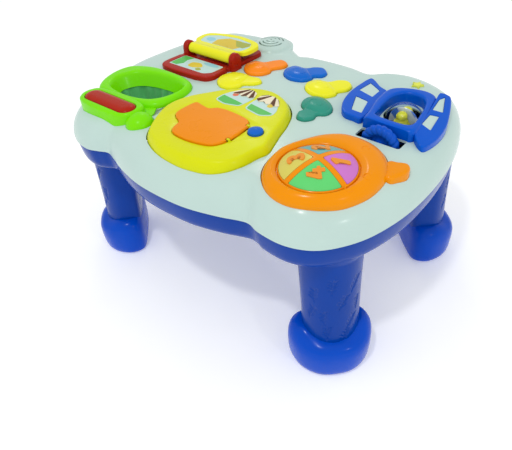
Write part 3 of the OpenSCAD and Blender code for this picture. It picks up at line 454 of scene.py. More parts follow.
axle_x, axle_z, ball_y, ball_r, wheel_r = 182, 255.5, 59, 25, 25
disc_c, disc_r, disc_rise, rim_z = (160, -96.5), 45, 14, 270
disc_R = (disc_r**2 + disc_rise**2) / (2*disc_rise)
disc_cz = rim_z + disc_rise - disc_R
cross_turn = -17
spk = (-88, 143)
star_c = (160, 139)
STAR = [((9 if i % 2 == 0 else 4.6)*cos(radians(36*i+90)) + star_c[0], (9 if i % 2 == 0 else 4.6)*sin(radians(36*i+90)) + star_c[1]) for i in range(10)]
btn_c = (62.6, -82.5)
door_hx, door_hz = 47.4, 274.6
bar_c = (-145, -131.5)

shell = top_solid("top_shell_look", 0, part_z)
shell = cut(shell, top_solid("t", 3, part_z - 1))
# speaker dome with a soft foot
zs = lambda r: 274 - 60 + sqrt(3600 - r*r)
prof = [(34, 262.6), (31.5, 263.3), (29.6, 264.6), (28.4, 265.6)]
prof = prof[:-1] + [(28.2, zs(28)-0.6), (27.4, zs(27.4)+0.1)] + [(r, zs(r)) for r in (25, 22, 18, 14, 10, 6, 3, 0)]
dome = revolve("t", [(34, 258)] + prof, (spk[0], spk[1], 0))
shell = cut(shell, dome, op="UNION")
shell = cut(shell, revolve("t", [(24.5, 230), (24.5, zs(24.5)-3.1), (18, zs(18)-3), (10, zs(10)-3), (0, zs(0)-3)], (spk[0], spk[1], 0)))
def arc_slot(r, a0, a1, w=1.1):
    n = 26
    a = [radians(a0 + (a1-a0)*i/n) for i in range(n+1)]
    P = [((r+w)*cos(t)+spk[0], (r+w)*sin(t)+spk[1]) for t in a] + [((r-w)*cos(t)+spk[0], (r-w)*sin(t)+spk[1]) for t in a[::-1]]
    return block("t", P, 240, 300)
from math import asin as _as
for r in (7.5, 13, 18.5):
    e = degrees(_as(4/r))
    for base in (20, 200):
        shell = cut(shell, arc_slot(r, base + e, base + 180 - e))
shell = cut(shell, block("t", circle(spk, 1.6, 24), 240, 300))
for P, d, z0 in ((HOOP_O, -0.2, 240), (PLATE, -0.2, 246), (rev(WEB), -0.2, 246.8), (PANEL, -3.2, 240), (HOUSE_O, -0.2, 240), (TAB, -0.2, 243.5),
                 (K_ORANGE, -0.5, 240), (K_LEMON, -0.5, 240), (K_BLUE, -0.5, 240), (K_YELLOW, -0.5, 240), (K_TEAL, -0.5, 240), (STAR, -0.2, 262.2)):
    shell = cut(shell, gap_cut(P, z0, 300, d))
shell = cut(shell, block("t", circle((-88, -133), 18.7), 246, 300))
shell = cut(shell, revolve("t", [(0, -26.5)] + [(26.5*sin(pi*i/40), -26.5*cos(pi*i/40)) for i in range(1, 40)] + [(0, 26.5)], (axle_x, ball_y, axle_z)))
slot_out = rounded([(axle_x-29, -10), (axle_x+29, -10), (axle_x+29, 10), (axle_x-29, 10)], 4)
shell = cut(shell, block("t", slot_out, 240, 300))
place(shell, M["shell"], "top_shell", angle=38)

# ---- blue tray --------------------------------------------------------------
prof = [(22, 184), (17, 184.3), (12.4, 185.6), (8.9, 187.9), (6.5, 191), (5, 195), (4, 200), (3, 208), (2.2, 215), (2, 220.8)]
tray = loft("bottom_tray_look", [(inset(body, a), z) for a, z in prof])
tray = cut(tray, loft("t", [(inset(body, a+3), z+3) for a, z in prof]))
LEGS = {"front_left": (-1, -1, 114), "front_right": (1, -1, 114), "back_left": (-1, 1, 141), "back_right": (1, 1, 141)}
leg_x, col_r, boot_h = 197, 35, 62
centres = {k: (sx*leg_x - 3, sy*y) for k, (sx, sy, y) in LEGS.items()}
for k, c in centres.items():
    tray = cut(tray, block("t", circle((c[0]*0.965, c[1]*0.965), 26, 48), 185, 211), op="UNION")
tray = cut(tray, block("t", circle((-146, -62), 38, 64), 185, 195), op="UNION")
SCREWS = [(-232,40),(232,-10),(-120,165),(0,150),(150,170),(-30,-165),(60,-165),(-232,-60)]
for p in SCREWS:
    tray = cut(tray, block("t", circle(p, 4.5, 24), 186, 220), op="UNION")
for k, c in centres.items():
    tray = cut(tray, block("t", circle((c[0]*0.965, c[1]*0.965), 22, 48), 183, 208))
tray = cut(tray, block("t", circle((-146, -62), 35, 64), 183, 197))
for p in SCREWS:
    tray = cut(tray, block("t", circle(p, 1.7, 20), 183, 222), block("t", circle(p, 3.6, 24), 183, 187))
tray = cut(tray, block("t", [(-36, -28), (36, -28), (36, 28), (-36, 28)], 183, 188), block("t", [(-110, -4), (-94, -4), (-94, 4), (-110, 4)], 183, 188))
place(tray, M["blue"], "bottom_tray", angle=38)

# ---- legs and boots ---------------------------------------------------------
def strokes(seed):
    """Curved engraved strokes on a leg, as short lines in (arc mm, height mm)."""
    rnd = random.Random(seed)
    S = []
    for cx, cz, lean in ((-14, 96, 18), (8, 122, -12), (20, 84, -20), (-4, 150, 6), (-26, 132, 14), (24, 146, -16), (-10, 70, 10), (12, 62, -8), (30, 110, 10), (-30, 100, -8)):
        a = radians(90 + lean)
        n = 5
        spine = [(cx + cos(a)*t*22 + 2.5*sin(t*3), cz + sin(a)*t*22) for t in [i/n - 0.5 for i in range(n+1)]]
        S += [(spine[i], spine[i+1]) for i in range(n)]
        for i in range(1, n):
            for s in (-1, 1):
                b = a + s*radians(46 + rnd.uniform(-8, 8))
                l = rnd.uniform(4.5, 7.5)
                x, z = spine[i]
                S.append(((x, z), (x + cos(b)*l, z + sin(b)*l)))
    return S

def seg_dist(X, Z, a, b):
    dx, dz = b[0]-a[0], b[1]-a[1]
    t = np.clip(((X-a[0])*dx + (Z-a[1])*dz) / (dx*dx + dz*dz), 0, 1)
    return np.hypot(X - a[0] - t*dx, Z - a[1] - t*dz)

S_leg = even(smooth(SHAFT, 3), 0.022)
S_boot = even(smooth(BOOT, 2), 2.2)
for k, (sx, sy, y) in LEGS.items():
    ang = degrees(atan2(sy, sx))
    c = np.array(centres[k], float)
    n = 150
    rows = []
    for i in range(n+1):
        t = i/n
        z = boot_h - 4 + (tray_z - 0.4 - boot_h + 4)*t
        P = scaled(S_leg, col_r + 3*t*t, col_r + 3*t*t)
        rows.append((P, t, z))
    base = rows[0][0]
    # arc length from the outermost point of the column
    i0 = int(np.argmax(base[:, 0]))
    step = np.hypot(*(np.roll(base, -1, 0) - base).T)
    s = np.cumsum(step) - step[0]
    total = step.sum()
    arc = (s - s[i0] + total/2) % total - total/2
    lines = strokes(7)
    rings = []
    for P, t, z in rows:
        d = np.full(len(P), 9.0)
        for a, b in lines:
            if min(a[1], b[1]) - 3 < z < max(a[1], b[1]) + 3:
                d = np.minimum(d, seg_dist(arc, np.full(len(P), z), a, b))
        depth = 0.9*np.exp(-(d/0.85)**2)
        P = inset(P, 0) - 0
        v = np.roll(P, -1, 0) - np.roll(P, 1, 0)
        m = np.maximum(np.hypot(v[:, 0], v[:, 1]), 1e-9)[:, None]
        P = P - depth[:, None] * np.c_[v[:, 1], -v[:, 0]] / m
        P = turned(P, ang) + c*(1 - 0.035*t)
        rings.append([(float(x), float(yy), float(z)) for x, yy in P])
    # the foot of the column runs on down into the boot
    foot = [[(x, yy, z0) for x, yy, _ in rings[0]] for z0 in (44,)]
    # the top of the column swells into the tray's edge
    ct = c*(1 - 0.035)
    head = [[(float(ct[0] + (x-ct[0])*f), float(ct[1] + (yy-ct[1])*f), z0) for x, yy, _ in rings[-1]] for z0, f in ((187, 1.02), (191, 1.05), (196, 1.07), (203, 1.07))]
    leg = skin("leg_%s_look" % k, foot + rings + head)
    place(leg, M["blue"], "leg_" + k, angle=50, weld=False)
    # boot: smooth sides, a rounded shoulder, and an instep that drops in front of the column
    prof = [(0.84, 0), (0.90, 0.6), (0.945, 2.4), (0.975, 6), (0.995, 12), (1.005, 20), (1.01, 28), (1.01, 36), (1.0, 43), (0.975, 49), (0.93, 54), (0.87, 57.8), (0.80, 60.4), (0.74, 61.6), (0.68, 62)]
    rings = []
    for sc, z in prof:
        P = scaled(S_boot, sc, sc)
        f = np.clip((P[:, 0] - 8)/30, 0, 1)
        zz = z - 9*f*f*(3-2*f) * max(0, (z-20)/42)**1.5
        P = turned(P, ang) + c
        rings.append([(float(p[0]), float(p[1]), float(h)) for p, h in zip(P, zz)])
    boot = skin("boot_%s_look" % k, rings)
    place(boot, M["boot"], "boot_" + k, angle=50, weld=False)

# ---- helpers for the raised pieces --------------------------------------------
def area2(P):
    P = np.array(P, float)
    x, y = P[:, 0], P[:, 1]
    return float(np.sum(x*np.roll(y, -1) - np.roll(x, -1)*y))
def ccw(P):
    return list(P) if area2(P) > 0 else list(P)[::-1]
def clip(P, p, n):
    """The part of an outline on the side of point p that n points away from."""
    out = []
    P = [np.array(q, float) for q in P]
    p, n = np.array(p, float), np.array(n, float)
    for a, b in zip(P, P[1:] + P[:1]):
        da, db = float((a-p) @ n), float((b-p) @ n)
        if da <= 0:
            out.append(a)
        if (da < 0) != (db < 0) and abs(da - db) > 1e-9:
            out.append(a + (b-a)*da/(da-db))
    return out
def fine_profile(pts, k=5):
    """A smooth run through (inset, height) pairs."""
    P = [np.array(p, float) for p in pts]
    P = [P[0]] + P + [P[-1]]
    out = []
    for i in range(1, len(P)-2):
        for j in range(k):
            out.append(cr(P[i-1], P[i], P[i+1], P[i+2], j/k))
    return [(float(a), float(b)) for a, b in out + [P[-1]]]
def box(name, x, y, z, dx, dy, dz, r=1.5):
    P = rounded([(x, y), (x+dx, y), (x+dx, y+dy), (x, y+dy)], r)
    return loft(name, pad_rings(P, z, z+dz, min(r, dz*0.4), 5))
def tube(name, pts, r, n=10):
    """Round strand through points in mm, with rounded ends."""
    P = [Vector(p) for p in pts]
    bm = bmesh.new()
    R = []
    for i, p in enumerate(P):
        d = (P[min(i+1, len(P)-1)] - P[max(i-1, 0)]).normalized()
        u = d.cross(Vector((0, 0, 1)))
        u = u.normalized() if u.length > 1e-4 else Vector((1, 0, 0))
        v = u.cross(d)
        k = r * (0.5 if i in (0, len(P)-1) else 1)
        R.append([bm.verts.new((p + u*(k*cos(2*pi*j/n)) + v*(k*sin(2*pi*j/n)))*MM) for j in range(n)])
    for a, b in zip(R, R[1:]):
        for j in range(n):
            bm.faces.new((a[j], b[j], b[(j+1) % n], a[(j+1) % n]))
    bm.faces.new(R[0])
    bm.faces.new(R[-1][::-1])
    bmesh.ops.recalc_face_normals(bm, faces=bm.faces)
    return new_object(name, bm)
def label(name, P, z0, z1, mat, node, angle=32):
    """A flat printed or inlaid shape that lies on another piece."""
    return place(block(name, ccw(P), z0, z1), M[mat], body=NODE[node]["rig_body"], angle=angle)
def blob(c, rx, ry, n=28, wob=0.0):
    return [(c[0] + rx*cos(2*pi*i/n)*(1 + wob*cos(3*2*pi*i/n)), c[1] + ry*sin(2*pi*i/n)*(1 + wob*sin(2*2*pi*i/n))) for i in range(n)]
TABLE = NODE["top_shell"]["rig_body"]

# ---- ball hoop, net and press bar ----------------------------------------------
hoop = loft("ball_hoop_look", pad_rings(HOOP_O, 253, 272.4, 8, 12))
hoop = cut(hoop, loft("t", pad_rings(PLATE, 247, 277, 4.5, 9)), op="UNION")
hoop = cut(hoop, block("t", ccw(WEB), 247, 266), op="UNION")
hoop = cut(hoop, revolve("t", [(18.5, 247), (18.5, 262)] + [(18.5*cos(radians(a)), 261 + 15.6*sin(radians(a))) for a in range(8, 90, 6)] + [(0, 276.6)], (-88, -133, 0)), op="UNION")
funnel = [(9, 250), (8, 253), (6, 257), (3.6, 262), (1.8, 266.5), (0.8, 268.6), (-0.2, 270.2), (-1.4, 271.5), (-2.8, 272.2), (-4, 272.5), (-4.4, 300)]
hoop = cut(hoop, loft("t", [(inset(HOOP_I, d), z) for d, z in funnel]))
bar_seat = moved(stadium(91, 27, 20), bar_c)
hoop = cut(hoop, hole("t", ccw(bar_seat), 240, 277, 1.2))
hoop = cut(hoop, block("t", inset(PLATE, 3), 240, 270), block("t", inset(PANEL, -3.6), 240, 290))
place(hoop, M["lime"], "ball_hoop", angle=40)
bar_o = ccw(moved(stadium(90, 26, 20), bar_c))
bar = join("hoop_bar_look", loft("t", [(bar_o, 271)] + [(inset(bar_o, 10*(1-cos(radians(8*i)))), 275 + 5*sin(radians(8*i))/sin(radians(80))) for i in range(11)]),
           revolve("t", [(4, 252), (4, 272)], (*bar_c, 0)))
place(bar, M["barred"], "hoop_bar", angle=40)

# the net: a pleated pocket, deepest in the middle
net_o = even(np.array(HOOP_I, float), 1.6)
net_m = np.array([-150, -66.0])
bm = bmesh.new()
uvl = bm.loops.layers.uv.new("cloth")
NR = [(0.86, 0.80, 252.2), (0.85, 0.79, 249), (0.83, 0.77, 244), (0.79, 0.74, 236), (0.72, 0.69, 227), (0.63, 0.62, 219), (0.50, 0.52, 212), (0.34, 0.38, 208.5), (0.17, 0.2, 206.6)]
NR = [tuple(float(v) for v in cr(np.array(NR[max(i-1, 0)]), np.array(NR[i]), np.array(NR[i+1]), np.array(NR[min(i+2, len(NR)-1)]), j/4)) for i in range(len(NR)-1) for j in range(4)] + [NR[-1]]
rnd = random.Random(5)
ph = [rnd.uniform(0, 6.3) for _ in range(3)]
V = []
for i, (a, b, z) in enumerate(NR):
    t = i/(len(NR)-1)
    row = []
    for j, p in enumerate(net_o):
        th = 2*pi*j/len(net_o)
        amp = 0.05*sin(pi*min(1, t*1.25))
        w = 1 + amp*(sin(17*th + ph[0]) + 0.5*sin(9*th + ph[1] + 2*t))
        q = net_m + (p - net_m)*[a, b]*w
        row.append(bm.verts.new((q[0]*MM, q[1]*MM, (z + 0.6*sin(5*th + ph[2])*t)*MM)))
    V.append(row)
for i in range(len(V)-1):
    for j in range(len(net_o)):
        k = (j+1) % len(net_o)
        f = bm.faces.new((V[i][j], V[i][k], V[i+1][k], V[i+1][j]))
        for l, (uu, vv) in zip(f.loops, ((j, i), (j+1, i), (j+1, i+1), (j, i+1))):
            l[uvl].uv = (uu*0.0016, vv*0.0021)
bm.faces.new(V[-1])
net = new_object("hoop_net_look", bm)
place(net, M["net"], "hoop_net", angle=80)

# ---- play house ------------------------------------------------------------------
prof = fine_profile([(-3, 251), (-3, 257), (-1.5, 264), (0.5, 269), (2.6, 272.3), (4.4, 273.6), (6.4, 274)], 4)
panel = loft("house_panel_look", [(inset(PANEL, a), z) for a, z in prof])
panel = cut(panel, block("t", inset(PANEL, 5), 250, 269))
panel = cut(panel, block("t", inset(ccw(DOORWAY), -3), 262.2, 271), op="UNION")
panel = cut(panel, block("t", ccw(rounded(ccw(DOORWAY), 3)), 240, 290))
panel = cut(panel, hole("t", circle(btn_c, 9.9), 240, 274, 0.8))
panel = cut(panel, block("t", inset(ccw(rounded(ccw(WIN_L), 5)), -0.1), 273, 282), block("t", inset(ccw(rounded(ccw(WIN_R), 5)), -0.1), 273, 282))
panel = cut(panel, loft("t", [(inset(DOOR, -0.8), 272.2), (inset(DOOR, -0.8), 273.4), (inset(DOOR, -1.2), 273.9), (inset(DOOR, -1.6), 274.05), (inset(DOOR, -1.8), 290)]))
panel = cut(panel, box("t", door_hx-3, -112.6, 270.6, 6.8, 33, 9, 0.4))
for y in (-115.6, -79.4):
    panel = cut(panel, box("t", door_hx-2, y, 270, 4.6, 2.8, 6.8, 0.8), op="UNION")
panel = cut(panel, revolve("t", [(1.02, -118), (1.02, -74)], (door_hx, 0, door_hz), axis="Y", n=32))
place(panel, M["yellow"], "house_panel", angle=38)

win = [ccw(rounded(ccw(W), 5)) for W in (WIN_L, WIN_R)]
place(join("house_windows_look", *[block("t", w, 273.1, 274.3) for w in win]), M["pale"], "house_windows")
for i, w in enumerate(win):
    m = np.array(w).mean(0)
    label("window_hill_%d" % i, clip(clip(inset(w, 2), m + [0, -9], (0.15, 1)), m + [60, 0], (1, 0)), 274.28, 274.40, "leaf", "house_windows")
    label("window_ball_%d" % i, blob(m + [-5 if i == 0 else 6, 2], 4.2, 4.2), 274.28, 274.42, ("pink", "gold")[i], "house_windows")
def awning(name, P, apex):
    P = ccw(rounded(ccw(P), 1.2))
    base = block(name, P, 274.4, 275.3)
    place(base, M["cream"], body=NODE["house_awnings"]["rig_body"])
    c = np.array(apex, float)
    for k in range(5):
        a0 = radians(-152 + 26*k)
        a1 = a0 + radians(14)
        s = [c + [44*cos(a0), 44*sin(a0)], c + [44*cos(a1), 44*sin(a1)], c + [1.2*cos(a1), 1.2*sin(a1)], c + [1.2*cos(a0), 1.2*sin(a0)]]
        st = cut(block(name + "_stripe%d" % k, P, 275.1, 275.6), block("t", ccw(s), 274, 277), op="INTERSECT")
        if len(st.data.polygons):
            place(st, M["brown"], body=NODE["house_awnings"]["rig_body"])
        else:
            bpy.data.objects.remove(st)
    return base
aw = awning("awning_left", AWN, (-4, 2))
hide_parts("house_awnings")
awning("awning_right", AWN_R, (30, 3))

door = loft("house_door_look", pad_rings(DOOR, 272.7, 276.2, 1.5, 6))
door = cut(door, revolve("t", [(2.3, -112), (2.3, -80)], (door_hx, 0, door_hz), axis="Y", n=48), op="UNION")
door = cut(door, revolve("t", [(1.06, -130), (1.06, -60)], (door_hx, 0, door_hz), axis="Y", n=32))
for y in (-117, -80.2):
    door = cut(door, box("t", door_hx-3.2, y, 268, 9, 5.2, 20, 0.4))
place(door, M["door"], "house_door", angle=38)
sb = lambda r: 259 + sqrt(400 - r*r)
place(revolve("house_button_look", [(4, 254), (4, 268), (9.2, 268), (9.4, 268.3), (9.4, sb(9.4)-0.7), (9.25, sb(9.25)-0.25), (8.9, sb(8.9))] + [(r, sb(r)) for r in (8, 6.5, 5, 3.4, 1.7, 0)], (*btn_c, 0)),
      M["button"], "house_button", angle=38)

# ---- flip book -------------------------------------------------------------------
by, bz = 47, 280
near = rounded([[-180,36],[-184,4],[-181,-5],[-172,-9],[-150,-10.5],[-110,-9],[-92,-5],[-85,4],[-84,36]], 6)
far_c = rounded([[-180,34],[-84,34],[-81,50],[-77,104],[-84,110],[-168,110],[-178,104],[-181,50]], 6)
near_in = rounded([[-174,3],[-104,3],[-94,11],[-91,35],[-170,35]], 4)
channel = lambda: box("t", -166.5, 36, 268.6, 81, 22.4, 30, 0.6)
shells = [cut(loft("t", pad_rings(near, 264.1, 271, 2.2, 7)), hole("t", near_in, 269.6, 271, 0.5)),
          cut(loft("t", pad_rings(far_c, 264.1, 270, 2, 7)), channel()),
          cut(box("t", -177, 58, 264.3, 97.5, 49, 15.7, 2.5), box("t", -168, 66, 279.2, 80, 33, 20, 1))]
for x in (-176.5, -85):
    knob = revolve("t", [(0, x), (7.6, x), (8.8, x+0.6), (9.5, x+1.9), (9.5, x+7.6), (8.8, x+8.9), (7.6, x+9.5), (0, x+9.5)], (0, by, bz), axis="X", n=72)
    shells += [box("t", x+0.4, by-9.1, 264.3, 8.7, 18.2, 15.5, 0.6), knob]
for x in (-166, -92):
    for y in (0, 100):
        shells.append(revolve("t", [(3, 252), (3, 266)], (x, y, 0), n=32))
book = join("book_base_look", *shells)
place(book, M["red"], "book_base", angle=38)
place(join("book_picture_look", box("t", -167.8, 66.2, 279.2, 79.6, 32.6, 0.6, 0.6), block("t", inset(near_in, 0.2), 269.7, 270.5)), M["pale"], "book_picture")
label("near_meadow", [(-169, 34), (-172, 6), (-160, 5), (-153, 14), (-155, 24), (-150, 34)], 270.5, 270.6, "leaf", "book_picture")
label("near_hill", blob((-112, 30), 14, 4.5), 270.5, 270.58, "sky", "book_picture")
label("near_sun", blob((-133, 18), 12, 8, wob=0.12), 270.5, 270.64, "gold", "book_picture")
label("near_dot", blob((-120, 10), 5, 3.6), 270.5, 270.62, "olive", "book_picture")
page = loft("book_page_look", pad_rings(rounded([[-166,47],[-86,47],[-86,58],[-74,61],[-70,76],[-71,92],[-80,100],[-98,104],[-115,106],[-134,104],[-152,98],[-168,92],[-174,80],[-173,64],[-166,58]], 7), 280.6, 286.4, 1.8, 7))
page = cut(page, revolve("t", [(6.6, -166), (7.6, -165), (7.6, -87), (6.6, -86)], (0, by, bz), axis="X", n=96), op="UNION")
page = cut(page, revolve("t", [(1.6, -168), (1.6, -84)], (0, by, bz), axis="X", n=32))
page_in = rounded([[-162,61],[-82,61],[-78,78],[-84,92],[-115,97],[-150,91],[-166,80]], 6)
page = cut(page, hole("t", page_in, 285.6, 286.4, 0.3))
place(page, M["lemon"], "book_page", angle=38)
place(block("page_picture_look", inset(page_in, 0.2), 285.62, 286.1), M["pale"], "page_picture")
label("page_patch", [(-138, 62), (-96, 62), (-88, 78), (-102, 90), (-126, 90), (-140, 78)], 286.1, 286.2, "gold", "page_picture")
label("page_hill", [(-112, 88), (-84, 90), (-81, 82), (-86, 72), (-98, 72)], 286.1, 286.24, "olive", "page_picture")
label("page_pond", blob((-150, 74), 8, 6), 286.1, 286.22, "sky", "page_picture")

# ---- musical keys ------------------------------------------------------------------
KEYS = {"orange": (K_ORANGE, (-43, 78), (0.55, 0.83), "korange", "orange_plastic"), "lemon": (K_LEMON, (-42, 26), (0.97, 0.25), "lemon", "yellow_plastic"),
        "blue": (K_BLUE, (20, 91), (0.65, 0.76), "kblue", "bright_blue_plastic"), "yellow": (K_YELLOW, (70, 72.5), (0.63, 0.78), "lemon", "yellow_plastic"),
        "teal": (K_TEAL, (82, 3.5), (0, -1), "teal", "teal_plastic")}
def relax(P, times):
    P = np.array(P, float)
    for _ in range(times):
        P = 0.25*np.roll(P, 1, 0) + 0.5*P + 0.25*np.roll(P, -1, 0)
    return P
for k, (K, p, n, mat, slot) in KEYS.items():
    K = ccw(K)
    n = np.array(n)/np.hypot(*n)
    belly = relax(even(ccw(clip(inset(K, 0.8), np.array(p) + n*1.0, n)), 1.2), 14)
    c = belly.mean(0)
    ang = np.arctan2(belly[:, 1]-c[1], belly[:, 0]-c[0])
    rad = np.hypot(belly[:, 0]-c[0], belly[:, 1]-c[1])
    o = np.argsort(ang)
    top_at = lambda u: 264 + 7.45*sqrt(max(0.0, 1 - min(1.0, u)**2.5))
    R = [(belly, 260), (belly, 264)]
    for i in range(1, 17):
        t = pi/2*i/17
        R.append((c + (belly - c)*cos(t)**0.8, 264 + 7.45*sin(t)))
    parts = [loft("t", pad_rings(K, 259, 268, 3.4, 8)), loft("t", R, tip=(float(c[0]), float(c[1]), 271.48))]
    m = np.array(mid(K))
    parts.append(revolve("t", [(3.5, 254), (3.5, 264)], (float(m[0]), float(m[1]), 0), n=32))
    # soft raised curls on the belly
    for r0, a0, a1, off in ((5, 20, 250, (-5, 1)), (4, 200, 420, (5.5, -1))):
        pts = []
        for i in range(15):
            a = radians(a0 + (a1-a0)*i/14)
            x, y = c[0] + off[0] + r0*cos(a), c[1] + off[1] + r0*sin(a)
            edge = float(np.interp(atan2(y-c[1], x-c[0]), ang[o], rad[o]))
            pts.append((x, y, min(271.0, top_at(np.hypot(x-c[0], y-c[1])/edge) + 0.02)))
        parts.append(tube("t", pts, 0.45))
    key = join("key_%s_look" % k, *parts)
    place(key, M[mat], "key_" + k, angle=45)

# ---- window frame, shutters, star ------------------------------------------------------
frame_ob = loft("window_frame_look", pad_rings(FRAME_O, 256, 279, 6, 12))
frame_ob = cut(frame_ob, loft("t", pad_rings(ccw(SHUT_L), 264.1, 272, 2.4, 7)), op="UNION")
slope = lambda x, y: 276 - (x - 213)*0.4245
def sloped(P, e, k=6):
    R = [(P, 250.0)]
    for i in range(k+1):
        d, dz = e*(1-cos(pi/2*i/k)), -e + e*sin(pi/2*i/k)
        R.append((inset(P, d), (lambda x, y, dz=dz: slope(x, y) + dz)))
    return R
frame_ob = cut(frame_ob, loft("t", sloped(ccw(SHUT_R), 2.0)), op="UNION")
frame_ob = cut(frame_ob, hole("t", FRAME_I, 240, 279, 4))
for q in PANES:
    frame_ob = cut(frame_ob, block("t", ccw(rounded(ccw(q), 2)), 240, 300))
def ball(r, n=64, flip=False, name="t"):
    P = [(0, -r)] + [(r*sin(pi*i/n), -r*cos(pi*i/n)) for i in range(1, n)] + [(0, r)]
    o = revolve(name, P, (axle_x, ball_y, axle_z))
    if flip:
        o.data.flip_normals()
    return o
frame_ob = cut(frame_ob, ball(26.5, 40))
frame_ob = cut(frame_ob, block("t", rounded([(axle_x-30, -12), (axle_x+30, -12), (axle_x+30, 10), (axle_x-30, 10)], 3), 240, 300))
frame_ob = cut(frame_ob, revolve("t", [(6, -20), (6, 40)], (axle_x, 0, axle_z), axis="Y", n=48))
frame_ob = cut(frame_ob, top_solid("t", -0.15, part_z - 5))
place(frame_ob, M["frame"], "window_frame", angle=38)
# white bosses of the top that fill the panes
for i, q in enumerate(PANES):
    q = inset(ccw(rounded(ccw(q), 2)), 0.4)
    b = block("pane_boss_%d" % i, q, 259, 271.2) if i < 2 else loft("pane_boss_%d" % i, [(q, 256), (q, lambda x, y: slope(x, y) - 0.8)])
    place(b, M["shell"], body=TABLE)
place(loft("star_light_look", pad_rings(rounded(ccw(STAR), 1.2, 4), 262.4, 267, 1.2, 6)), M["star"], "star_light", angle=38)

# ---- spinning ball and wheel --------------------------------------------------------
place(join("spin_ball_look", ball(ball_r), ball(ball_r - 1.6, flip=True)), M["clear"], "spin_ball", angle=80)
def swirl_mat():
    m = plastic("swirl", (60, 112, 214), rough=0.3, vary=0.02)
    nt = m.node_tree
    N, L = nt.nodes, nt.links
    tc = N.new("ShaderNodeTexCoord")
    wv = N.new("ShaderNodeTexWave")
    wv.wave_type = "RINGS"
    wv.inputs["Scale"].default_value = 12
    wv.inputs["Distortion"].default_value = 9
    wv.inputs["Detail Scale"].default_value = 1.4
    L.new(tc.outputs["Object"], wv.inputs["Vector"])
    rp = N.new("ShaderNodeValToRGB")
    rp.color_ramp.elements[0].color = (*lin((70, 124, 220)), 1)
    rp.color_ramp.elements[1].color = (*lin((232, 238, 244)), 1)
    rp.color_ramp.elements[0].position = 0.38
    rp.color_ramp.elements[1].position = 0.6
    L.new(wv.outputs["Fac"], rp.inputs["Fac"])
    L.new(rp.outputs["Color"], N["Principled BSDF"].inputs["Base Color"])
    return m
M["swirl"] = swirl_mat()
sw = revolve("spin_swirl_look", [(0, ball_y-1), (19.4, ball_y-1), (20, ball_y-0.5), (20, ball_y+0.5), (19.4, ball_y+1), (0, ball_y+1)], (axle_x, 0, axle_z), axis="Y")
place(sw, M["swirl"], "spin_swirl")
bm = bmesh.new()
NT, NP = 240, 40
rows = []
for i in range(NT):
    th = 2*pi*i/NT
    row = []
    for j in range(NP):
        ps = 2*pi*j/NP
        r = 5.25 + 1.1*abs(cos(9*th - 1*ps))**0.7
        R0 = 18.5 + r*cos(ps)
        row.append(bm.verts.new(((axle_x + R0*cos(th))*MM, (r*sin(ps))*MM, (axle_z + R0*sin(th))*MM)))
    rows.append(row)
for i in range(NT):
    # the ridge turns half a pitch over one lap of the section, so the rows still meet
    for j in range(NP):
        bm.faces.new((rows[i][j], rows[i][(j+1) % NP], rows[(i+1) % NT][(j+1) % NP], rows[(i+1) % NT][j]))
bmesh.ops.recalc_face_normals(bm, faces=bm.faces)
rim = new_object("t", bm)
hub = revolve("t", [(2.5, -6), (6, -6), (6, -1.5), (17, -1.5), (17, 1.5), (6, 1.5), (6, 6), (2.5, 6), (2.5, -6)], (axle_x, 0, axle_z), axis="Y")
place(join("spin_wheel_look", rim, hub), M["wheel"], "spin_wheel", angle=60)

# ---- numbered pad ---------------------------------------------------------------------
prof = fine_profile([(0, 250), (0, 260), (0.8, 264), (3, 268), (7, 271.5), (12, 273.5), (16, 274)], 4)
house_fine = even(HOUSE_O, 2.0)
pad_ob = loft("pad_housing_look", [(inset(house_fine, a), z) for a, z in prof])
pad_ob = cut(pad_ob, loft("t", pad_rings(TAB, 244, 266.5, 4, 9)), op="UNION")
pad_ob = cut(pad_ob, revolve("t", [(45.6, 268), (45.6, 270.2), (46.2, 271.1), (48, 272.2), (51, 273.3), (54, 274.0), (54.6, 274.4), (54.6, 300)], (*disc_c, 0)))
zc = lambda r, d=0: disc_cz + sqrt(max(0, (disc_R-d)**2 - r*r))
cap_prof = [(r, zc(r)) for r in (43.6, 41, 38, 34, 30, 26, 22, 18, 14, 10, 6, 3, 0)]
pad_ob = cut(pad_ob, revolve("t", [(44.4, 262), (44.4, zc(44.4)-0.6), (44.1, zc(44.1)-0.15)] + cap_prof, (*disc_c, 0)), op="UNION")
def quad(w, R, q, n=24):
    a0, a1 = asin(w/R), pi/2 - asin(w/R)
    P = [(w, w)] + [(R*cos(a0 + (a1-a0)*i/n), R*sin(a0 + (a1-a0)*i/n)) for i in range(n+1)]
    return moved(turned(even(rounded(P, 2.2, 4), 1.5), cross_turn + 90*q), disc_c)
for q in range(4):
    pad_ob = cut(pad_ob, block("t", quad(3.2, disc_r - 2.0, q), 240, 300))
